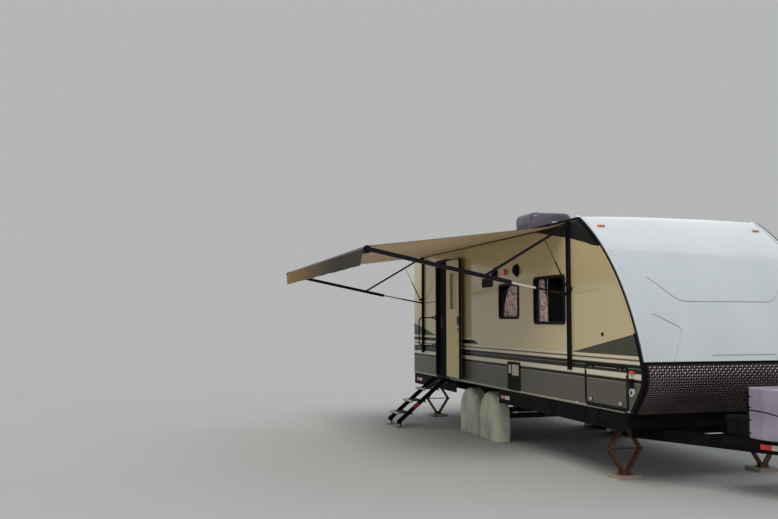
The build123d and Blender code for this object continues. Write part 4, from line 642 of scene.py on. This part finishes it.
# Luggage doors and service hatches: the wall's own panel in a black flange, with bright slam latches.
# The kerb service hatch has two pale panels above a dark one; the road side has louvred vents.
leaf_skin = Finish("leaf_gelcoat", champagne_tone, 0.20, Coat_Weight=0.22, Coat_Roughness=0.05)
flange_out = 0.0052
leaf_skin.tint((0.006, 0.006, 0.006), leaf_skin.along(1) * leaf_skin.along(1) > (half_width + flange_out) ** 2)
finish_node("luggage_door_kerb luggage_door_road", leaf_skin)
vent_black = Finish("vent_black", (0.008, 0.008, 0.009), 0.5, Specular_IOR_Level=0.03)
vent_black.tint((0.020, 0.019, 0.018), vent_black.grain(18))
vent_black.grained(0.0004, 0.4, 300, detail=1.0)
finish_node("wall_vents", vent_black)
latch = Finish("latch_chrome", (0.72, 0.72, 0.70), 0.18, Metallic=1.0)
latch.tint((0.5, 0.5, 0.48), latch.grain(60))
latch_places, seal_z0, seal_z1 = (-2.073, -1.452), leaf_z0 + 0.001, leaf_z1 - 0.06
for side, word in sides:
    handles = []
    for x in latch_places:
        layer = between(side, half_width + 0.0135, half_width + 0.0175)
        handles.append(box_mesh(x - 0.030, x + 0.030, *layer, 0.846, 0.882))
        layer = between(side, half_width + 0.0170, half_width + 0.0200)
        handles.append(box_mesh(x - 0.016, x + 0.016, *layer, 0.852, 0.876))
    leaf = "luggage_door_" + word
    bevelled(place_mesh("slam_latches_" + word, *joined(handles), latch, leaf, "zinc_steel"), 0.0012)
for side, word in sides:
    layer = between(side, half_width + 0.0046, half_width + 0.0062)
    seal = [box_mesh(leaf_x0 + 0.001, leaf_x0 + 0.016, *layer, seal_z0, seal_z1),
            box_mesh(leaf_x1 - 0.016, leaf_x1 - 0.001, *layer, seal_z0, seal_z1),
            box_mesh(leaf_x0 + 0.014, leaf_x1 - 0.014, *layer, seal_z0, leaf_z0 + 0.012)]
    place_mesh("leaf_seal_" + word, *joined(seal), satin_black, "luggage_door_" + word, "black_moulding")
pale = Finish("service_panel", (0.42, 0.39, 0.29), 0.3)
pale.tint((0.34, 0.32, 0.24), pale.grain(9))
service = [box_mesh(x0, x1, -half_width - 0.0115, -half_width - 0.0085, z0, z1)
           for x0, x1, z0, z1 in ((-4.325, -4.235, 1.010, 1.128), (-4.205, -3.995, 0.990, 1.135))]
bevelled(place_mesh("service_panels", *joined(service), pale, "trailer", "fitting_plastic"), 0.0010)

# Chassis and running gear: rolled and pressed steel in black enamel, greyed by road dirt.
# Springs and axles are darker and rougher, with a little rust at their edges; the tongue jack is zinc plated.
chassis_paint = Finish("chassis_enamel", (0.004, 0.004, 0.004), 0.5, Specular_IOR_Level=0.05)
chassis_paint.mottle((0.014, 0.011, 0.008), 0.45, 0.8, 4, (1, 1, 1.5))
chassis_paint.uneven_gloss(0.42, 0.35, 11)
chassis_paint.grained(0.0006, 0.4, 160, detail=2.0)
finish_node("chassis skirts a_frame stores_tray coupler", chassis_paint)
rough_iron = Finish("sprung_iron", (0.020, 0.018, 0.017), 0.65, Metallic=0.4)
rough_iron.mottle((0.12, 0.055, 0.025), 0.52, 0.75, 10)
rough_iron.grained(0.0010, 0.5, 90)
finish_node("axles leaf_springs", rough_iron)
zinc = Finish("zinc_plate", (0.42, 0.42, 0.40), 0.40, Metallic=0.85)
zinc.tint((0.25, 0.25, 0.24), zinc.cells(60))
zinc.uneven_gloss(0.30, 0.3, 30)
finish_node("tongue_jack", zinc)

# Gas bottle cover and battery box: moulded plastic, the cover lilac-grey with a bowed seam across its front
# and a black back shell, the box black and pebbled. Both are strapped to the drawbar's tray.
hood_plastic = Finish("hood_plastic", (0.31, 0.26, 0.345), 0.30)
lilac = hood_plastic.mottle((0.21, 0.175, 0.25), 0.4, 0.7, 2.2)
across_hood = hood_plastic.along(1)
seam_z, seam_bow, seam_half, back_shell_x = 0.7795, 0.6755, 0.0065, -0.588
seam_off = hood_plastic.along(2) - (seam_z + across_hood * across_hood * seam_bow)
hood_dark = (hood_plastic.along(0) < back_shell_x) | (seam_off * seam_off < seam_half ** 2)
hood_plastic.tint((0.006, 0.006, 0.007), hood_dark, lilac)
hood_plastic.grained(0.0008, 0.25, 90, detail=1.0)
finish_node("gas_hood", hood_plastic)
battery_black = Finish("battery_box", (0.007, 0.007, 0.007), 0.7, Specular_IOR_Level=0.08)
battery_black.tint((0.016, 0.016, 0.016), battery_black.grain(24))
battery_black.grained(0.0009, 0.6, 260, detail=1.0)
finish_node("battery_box", battery_black)

# Tyres: steel-belted trailer tyres with four circumferential grooves and sipes at the shoulders.
# The wheels are pressed steel in silver enamel.


def turned(profile, centre, axis, segments):
    """Points and faces of a closed profile of (radius, offset) turned about an axis through a centre."""
    points, faces = [], []
    count = len(profile)
    for step in range(segments):
        angle = 2 * pi * step / segments
        for radius, offset in profile:
            a, b = radius * cos(angle), radius * sin(angle)
            points.append(Vector(centre) + Vector((a, offset, b) if axis == "y" else (offset, a, b)))
    for step in range(segments):
        near, far = step * count, (step + 1) % segments * count
        for i in range(count):
            j = (i + 1) % count
            faces.append((near + i, far + i, far + j, near + j))
    return points, faces


rubber = Finish("tyre_rubber", (0.014, 0.014, 0.014), 0.85)
rubber.mottle((0.045, 0.042, 0.038), 0.45, 0.75, 7)
rubber.grained(0.0010, 0.5, 150, detail=2.0)
wheel_paint = Finish("wheel_silver", (0.50, 0.50, 0.50), 0.35, Metallic=0.5)
wheel_paint.mottle((0.32, 0.31, 0.29), 0.5, 0.8, 9)
tyre_r, bead_r, wheel_y, axle_places = 0.335, 0.1905, 1.085, (("front", -5.150), ("rear", -5.970))
groove_depth, groove_half, groove_land, sipe_depth, tyre_steps = 0.008, 0.004, 0.010, 0.004, 144
crown = [(tyre_r - 0.014, -0.088), (tyre_r - 0.005, -0.078)]
for groove in (-0.048, -0.016, 0.016, 0.048):
    crown += [(tyre_r, groove - groove_land), (tyre_r, groove - groove_half),
              (tyre_r - groove_depth, groove - groove_half + 0.001),
              (tyre_r - groove_depth, groove + groove_half - 0.001),
              (tyre_r, groove + groove_half), (tyre_r, groove + groove_land)]
crown += [(tyre_r - 0.005, 0.078), (tyre_r - 0.014, 0.088)]
side_wall = [(bead_r + rise, y) for rise, y in (
    (0.118, 0.0955), (0.100, 0.1005), (0.078, 0.1022), (0.060, 0.1010), (0.040, 0.0955), (0.020, 0.0890),
    (0.016, 0.0855), (0, 0.0805), (0.012, 0.0690))]
tyre_profile = crown + side_wall + [(r, -y) for r, y in reversed(side_wall)]
shoulder_points = (0, 1, len(crown) - 2, len(crown) - 1)
for side, word in sides:
    for place, x in axle_places:
        centre = Vector((x, side * wheel_y, tyre_r))
        points, faces = turned(tyre_profile, centre, "y", tyre_steps)
        for step in range(0, tyre_steps, 3):
            for i in shoulder_points:
                index = step * len(tyre_profile) + i
                pulled = centre - points[index]
                pulled.y = 0
                points[index] = points[index] + pulled.normalized() * sipe_depth
        place_mesh(f"tyre_rubber_{word}_{place}", points, faces, rubber, f"wheel_{word}_{place}", "tyre_rubber", True,
                   [f"tyre_{word}_{place}"])
        finish_node(f"rim_{word}_{place}", wheel_paint)

# Wheel covers: coated ivory cloth sewn from a side disc and a band, slack and creased, elastic at the hem.
# They stand over the wheels while the trailer is parked.
cover_cloth = Finish("cover_cloth", (0.60, 0.60, 0.44), 0.55, Specular_IOR_Level=0.3)
# Dark blue-grey patches on the ivory cloth: painted dappled shade with a cool sky cast.
cover_cloth.mottle((0.30, 0.32, 0.33), 0.42, 0.72, 3.4, (1, 1, 0.5))
cover_cloth.grained(0.0005, 0.4, 500, detail=1.0)
cover_outer_y, cover_inner_y, cover_radius, cover_leg, cover_slack = 1.2015, 1.0085, 0.349, tyre_r, 0.004
shoulder, straight_share, taken_in, hem_clear = 0.095, 0.4, 0.55, 0.002
cover_run = 2 * cover_leg + pi * cover_radius
around, band_rows, disc_rows = 128, 16, 18


def over_wheel(x, run):
    """X and Z on the cover's arched outline at a run from its front foot."""
    if run < cover_leg:
        return x + cover_radius, run
    if run < cover_leg + pi * cover_radius:
        angle = (run - cover_leg) / cover_radius
        return x + cover_radius * cos(angle), cover_leg + cover_radius * sin(angle)
    return x - cover_radius, 2 * cover_leg + pi * cover_radius - run


def creased(seed, coarse, coarse_depth, fine, fine_depth):
    """How far a crease stands out at a spot."""
    return abs(noise.noise(seed + Vector(coarse)) * coarse_depth + noise.noise(seed + Vector(fine)) * fine_depth)


for side, word in sides:
    for place, x in axle_places:
        seed = Vector((x * 3.1, side * 5.7, 1.3))
        arch = [over_wheel(x, cover_run * step / around) for step in range(around + 1)]
        points = []
        for row in range(band_rows + disc_rows + 1):
            for px, pz in arch:
                if row <= band_rows:
                    t = row / band_rows
                    bend = max(t - straight_share, 0) / (1 - straight_share) * pi / 2
                    straight = (cover_outer_y - cover_inner_y - shoulder) * min(t / straight_share, 1)
                    y = cover_inner_y + straight + shoulder * sin(bend)
                    inward = shoulder * (1 - cos(bend)) * taken_in
                    crease = creased(seed, (px * 7, y * 14, pz * 3), 0.022, (px * 22, y * 16, pz * 9), 0.010)
                    away = Vector((px - x, 0, max(pz - cover_leg, 0))).normalized()
                    spot = Vector((px, side * (y - cover_slack), pz)) + away * (crease - inward)
                else:
                    t = (row - band_rows) / disc_rows
                    reach = (1 - t) * (cover_radius - taken_in * shoulder) / cover_radius
                    cx, cz = x + (px - x) * reach, (pz if pz < cover_leg else cover_leg + (pz - cover_leg) * reach)
                    crease = creased(seed, (cx * 8, 3, cz * 2.2), 0.026, (cx * 20, 9, cz * 6), 0.008)
                    spot = Vector((cx, side * (cover_outer_y - cover_slack + crease * min(t * 5, 1)), cz))
                spot.z = max(spot.z, hem_clear)
                points.append(spot)
        faces = grid_faces(band_rows + disc_rows, around)
        cover = place_mesh(f"wheel_cover_{word}_{place}", points, faces, cover_cloth, "trailer", "cover_cloth", True)
        thick = cover.modifiers.new("cloth", "SOLIDIFY")
        thick.thickness, thick.offset = 0.0012, -1
        cut_area = (cover_run * (cover_outer_y - cover_inner_y) + 2 * cover_radius * cover_leg
                    + pi * cover_radius ** 2 / 2)
        if place == "front" and side < 0:
            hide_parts("wheel_covers")

# Awning arms: black-coated aluminium arms, gas struts and wall channels, pinned as a folding linkage.
# The lower links slide in bare silver tubes for part of their length.
coated = Finish("black_aluminium", (0.006, 0.005, 0.007), 0.30, Specular_IOR_Level=0.10)
coated.tint((0.016, 0.013, 0.021), coated.grain(6, (1, 0.3, 0.3)))
coated.uneven_gloss(0.24, 0.2, 16)
finish_node("awning_channels upper_arms main_arms strut_cylinders", coated)
finish_node("strut_rods", rough_iron)
telescopic = Finish("telescopic_link", (0.008, 0.007, 0.009), 0.28, Metallic=0.4)
bare_from, bare_to = half_width + 0.43, half_width + 0.745
bare_tube = (telescopic.along(1) < -bare_from) * (telescopic.along(1) > -bare_to)
telescopic.tint((0.66, 0.66, 0.64), bare_tube)
finish_node("lower_links", telescopic)

# Awning roller: an aluminium tube with wound cloth on it and a turned black cap at each end.
# The caps carry the tube on the main arms' pins.
roller_out, roller_z, roll_radius = 2.45004, 2.51272, 0.040
roller_y = -half_width - roller_out
cloth_x0, cloth_x1 = -7.986, -2.625
cloth_width = cloth_x1 - cloth_x0
roller_wrap = Finish("roller_wrap", (0.16, 0.13, 0.12), 0.7)
roller_wrap.tint((0.10, 0.075, 0.055), roller_wrap.grain(1.6))
roll_edge, wound_turns, roller_axis = 0.0006, 6, (0, roller_y, roller_z)
wound_ends = [[(roll_radius - roll_edge - 0.0022 * k, x + (0.0012 if k % 2 else 0.0) * sign)
               for k in range(1, wound_turns + 1)] for x, sign in ((cloth_x0, 1), (cloth_x1, -1))]
wound = [(roll_radius + roll_edge * sin(k * 2.3) * (0.6 + 0.4 * sin(k * 0.7)), cloth_x0 + cloth_width * k / 60)
         for k in range(1, 60)]
roll = wound_ends[0][::-1] + [(roll_radius - roll_edge, cloth_x0), (roll_radius, cloth_x0 + 0.002)] + wound
roll += [(roll_radius, cloth_x1 - 0.002), (roll_radius - roll_edge, cloth_x1)] + wound_ends[1]
roll += [(0.020, cloth_x1), (0.020, cloth_x0)]
place_mesh("roller_cloth", *turned(roll, roller_axis, "x", 40), roller_wrap, "awning_main", "awning_cloth", True,
           ["roller"])
cap_parts = []
for inner, outer, sign in ((-7.988, -8.050, -1), (-2.623, -2.561, 1)):
    rising = [(radius, inner + sign * reach) for radius, reach in
              ((0.024, 0), (0.040, 0.034), (0.0445, 0.036), (0.046, 0.040))]
    facing = [(radius, outer - sign * inset) for radius, inset in
              ((0.046, 0.004), (0.044, 0.001), (0.036, 0), (0.030, 0.004), (0.014, 0.004), (0.012, 0))]
    cap_parts.append(turned(rising + facing + [(0.012, inner)], roller_axis, "x", 48))
    pin_end = outer + sign * 0.003
    pin_face = pin_end + sign * 0.001
    pin = [(0.0119, inner), (0.0119, pin_end), (0.0105, pin_face), (0.001, pin_face), (0.001, inner)]
    cap_parts.append(turned(pin, roller_axis, "x", 24))
place_mesh("roller_caps", *joined(cap_parts), fittings_black, "awning_main", "awning_aluminium", True)

# Awning cloth: four panels of coated tan fabric sewn together, slack between the wall rail and the roller.
awning_tan = Finish("awning_tan", (0.80, 0.60, 0.37), 0.72, Specular_IOR_Level=0.15)
awning_tan.mottle((0.68, 0.50, 0.29), 0.35, 0.7, 0.9, (0.5, 1, 1))
awning_tan.grained(0.0004, 0.35, 600, detail=1.0)
rail_out, rail_z = 0.011, 2.865
touch_out, touch_z = roller_out + 0.0052, roller_z + 0.0420
sag, waist, edge_lift, ripple, cockle = 0.020, 0.028, 0.006, 0.0025, 0.0022
cloth_columns, cloth_rows = 150, 48
cloth_points = []
for row in range(cloth_rows + 1):
    v = row / cloth_rows
    slack = sin(pi * v)
    for column in range(cloth_columns + 1):
        u = column / cloth_columns
        x = cloth_x0 + cloth_width * u + (0.5 - u) * waist * slack
        y = -half_width - (rail_out + (touch_out - rail_out) * v)
        z = rail_z + (touch_z - rail_z) * v
        z -= sag * slack * (0.55 + 0.45 * sin(pi * u)) - edge_lift * slack * exp(-min(u, 1 - u) * 45)
        z += ripple * slack * sin(38 * u + 1.5 * sin(7 * v)) * exp(-8 * v)
        z += cockle * slack * noise.noise(Vector((x * 1.3, v * 2.0, 4.0)))
        cloth_points.append(Vector((x, y, z)))
cloth = place_mesh("awning_cloth", cloth_points, grid_faces(cloth_rows, cloth_columns), awning_tan, "awning_main",
                   "awning_cloth", True, ["canopy"])
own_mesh(cloth)


def cloth_point(x, v):
    """Point on the awning cloth at a distance share from the rail."""
    u = (x - cloth_x0) / cloth_width
    column, row = min(max(u, 0), 1) * cloth_columns, v * cloth_rows
    c, r = min(int(column), cloth_columns - 1), min(int(row), cloth_rows - 1)
    a, b = column - c, row - r
    near, far = r * (cloth_columns + 1) + c, (r + 1) * (cloth_columns + 1) + c
    near_spot = cloth_points[near] * (1 - a) + cloth_points[near + 1] * a
    far_spot = cloth_points[far] * (1 - a) + cloth_points[far + 1] * a
    return near_spot * (1 - b) + far_spot * b


seam_tan = Finish("seam_tan", (0.42, 0.32, 0.19), 0.75)
seam_tan.tint((0.50, 0.39, 0.24), seam_tan.grain(140))
seams = [(cloth_x0 + cloth_width * k / 4, 0.022) for k in (1, 2, 3)]
side_hems = [(cloth_x0 + 0.016, 0.030), (cloth_x1 - 0.016, 0.030)]
bands = []
for centre, width in seams + side_hems:
    for lift in (0.0012, -0.0012):
        strip = []
        for row in range(cloth_rows + 1):
            v = 0.004 + 0.992 * row / cloth_rows
            strip += [cloth_point(x, v) + Vector((0, 0, lift)) for x in (centre - width / 2, centre + width / 2)]
        bands.append((strip, grid_faces(cloth_rows, 1)))
seam_bands = place_mesh("awning_seams", *joined(bands), seam_tan, "awning_main", "awning_cloth", True)
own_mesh(seam_bands)

# Valance: a brown flap of the same fabric, sewn into the roller's slot, its dark brown partly painted shade and its
# lighter rear end painted light.
# It hangs free, with rounded lower corners.
valance_brown = Finish("valance_brown", (0.050, 0.042, 0.034), 0.75, Specular_IOR_Level=0.12)
# Golden towards the rear end: painted light on that end of the flap.
valance_brown.tint((0.26, 0.155, 0.055), valance_brown.steps(valance_brown.along(0), -4.2, -7.9))
valance_brown.grained(0.0004, 0.35, 600, detail=1.0)
flap_front, flap_top, flap_drop, flap_corner = roller_y - roll_radius - 0.002, roller_z + 0.006, 0.182, 0.055
flap_columns, flap_rows, flap_scallop, flap_folded = 288, 12, 0.002, 0.2
points = []
for row in range(flap_rows + 1):
    v = row / flap_rows
    for column in range(flap_columns + 1):
        x = cloth_x0 + cloth_width * column / flap_columns
        short = max(flap_corner - min(x - cloth_x0, cloth_x1 - x), 0)
        hem = flap_drop - flap_corner + sqrt(flap_corner ** 2 - short ** 2) - flap_scallop * (1 - cos(x * 9.0))
        swing = 0.010 * v * sin(x * 2.1 + 0.6) * sin(x * 5.3) - 0.004 * v
        points.append(Vector((x, flap_front + swing - 0.001, flap_top - hem * v)))
flap = place_mesh("valance_cloth", points, grid_faces(flap_rows, flap_columns), valance_brown, "awning_main",
                  "awning_cloth", True, ["valance"])
cloth_width * (flap_drop - 0.003)
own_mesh(flap)

# Roof: white rubber membrane; on it a dark cooler shroud, moulded white vents and pipe caps.
# Their edges are sealed with a self-levelling bead.
membrane = Finish("roof_membrane", (0.66, 0.66, 0.64), 0.75)
weathered = membrane.mottle((0.46, 0.45, 0.41), 0.4, 0.75, 1.1)
roof_crown, ceiling_z = 0.025, 2.925
# The roof's underside inside the trailer is painted near black: painted shade of the unlit inside.
painted_shade_ceiling = membrane.along(2) + membrane.along(1) * membrane.along(1) * roof_crown < ceiling_z
membrane.tint((0.020, 0.018, 0.016), painted_shade_ceiling * (membrane.along(0) > rear_x + 0.34), weathered)
finish_node("roof", membrane)
shroud = Finish("cooler_shroud", (0.045, 0.038, 0.054), 0.38, Coat_Weight=0.3)
# Lighter purple patches on the dark shroud: painted highlights of the sky.
shroud.mottle((0.12, 0.098, 0.145), 0.4, 0.7, 3)
shroud.grained(0.0010, 0.5, 240, detail=1.0)
finish_node("air_conditioner", shroud)
vent_white = Finish("vent_white", (0.62, 0.62, 0.60), 0.4)
vent_white.tint((0.50, 0.49, 0.45), vent_white.grain(5))
finish_node("roof_vents", vent_white)

# Lamps and small fittings: amber and red lenses, black speakers, inlets and a blank plate.
# The colours follow where each fitting stands.
amber, porch_red = (0.62, 0.17, 0.02), (0.55, 0.10, 0.03)
marker_red, tail_red = (0.50, 0.035, 0.012), (0.45, 0.010, 0.010)
lenses = Finish("lamp_lenses", amber, 0.12, Coat_Weight=0.8)
at_tail = lenses.along(0) < -8.5
at_porch = (lenses.along(0) < -4.0) * (lenses.along(0) > -5.0)
at_side = (lenses.along(0) > -1.40) * (lenses.along(2) < 1.5)
warm = lenses.blend(at_side, lenses.blend(at_porch, (*amber, 1), (*porch_red, 1)), (*marker_red, 1))
lenses.tint(tail_red, at_tail, warm)
lens_ribs = lenses.node("ShaderNodeTexWave", {"bands_direction": "Z"}, {"Vector": lenses.point, "Scale": 60.0})
lenses.relief(lens_ribs, 0.0012, 0.5)
finish_node("lamps", lenses)
fitting_black = (0.006, 0.006, 0.007)
small_fittings = Finish("small_fittings", fitting_black, 0.4, Specular_IOR_Level=0.02)
at_inlet = (small_fittings.along(0) > -1.30) * (small_fittings.along(2) < 1.037)
pale_inlet = small_fittings.blend(at_inlet, (*fitting_black, 1), (0.48, 0.58, 0.63, 1))
small_fittings.tint((0.016, 0.016, 0.016), small_fittings.grain(40) * 0.3, pale_inlet)
finish_node("fittings", small_fittings)
speaker_places, grilles = ((-4.776, 2.400), (-4.033, 2.400)), []
ring_pitch, ring_half, grille_proud, grille_bow = 0.011, 0.002, half_width + 0.0235, 0.4 / 0.07
for x, z in speaker_places:
    for ring in range(1, 6):
        radius = ring_pitch * ring
        proud = grille_proud - grille_bow * radius ** 2
        ridge = [(radius - ring_half, -proud), (radius, -proud - ring_half), (radius + ring_half, -proud)]
        grilles.append(turned(ridge, (x, 0, z), "y", 40))
place_mesh("speaker_grilles", *joined(grilles), fittings_black, "trailer", "fitting_plastic", True)
inlet_centre = (-1.235, 0, 0.995)
inlet_profile = [(0.019, -1.2396), (0.017, -1.2416), (0.001, -1.2416), (0.001, -1.2376)]
inlet_plug = turned(inlet_profile, inlet_centre, "y", 32)
place_mesh("inlet_plug", *inlet_plug, fittings_black, "trailer", "fitting_plastic", True)
foot_lamp = box_mesh(-2.432, -2.384, -half_width - 0.0085, -half_width - 0.0005, 0.786, 0.803)
bevelled(place_mesh("foot_lamp", *foot_lamp, patch_white, "trailer", "fitting_plastic"), 0.002, 2)

# Scissor jacks and pads: pressed arms gone rusty, standing on weathered softwood boards.
# The boards are grey on top with open grain and pale sawn ends.
rust = Finish("rusty_arms", (0.085, 0.040, 0.022), 0.75, Metallic=0.35)
rust.mottle((0.20, 0.085, 0.035), 0.42, 0.68, 16)
rust.uneven_gloss(0.6, 0.3, 40)
rust.grained(0.0012, 0.7, 120)
finish_node("scissor_jacks", rust)
wood = Finish("grey_boards", (0.24, 0.20, 0.15), 0.85)
wood_grain = wood.grain(9, (0.6, 9, 9), 4.0)
wood.tint((0.36, 0.32, 0.25), wood.steps(wood_grain, 0.35, 0.65))
wood.relief(wood_grain, 0.0025, 0.7)
finish_node("ground_boards", wood)
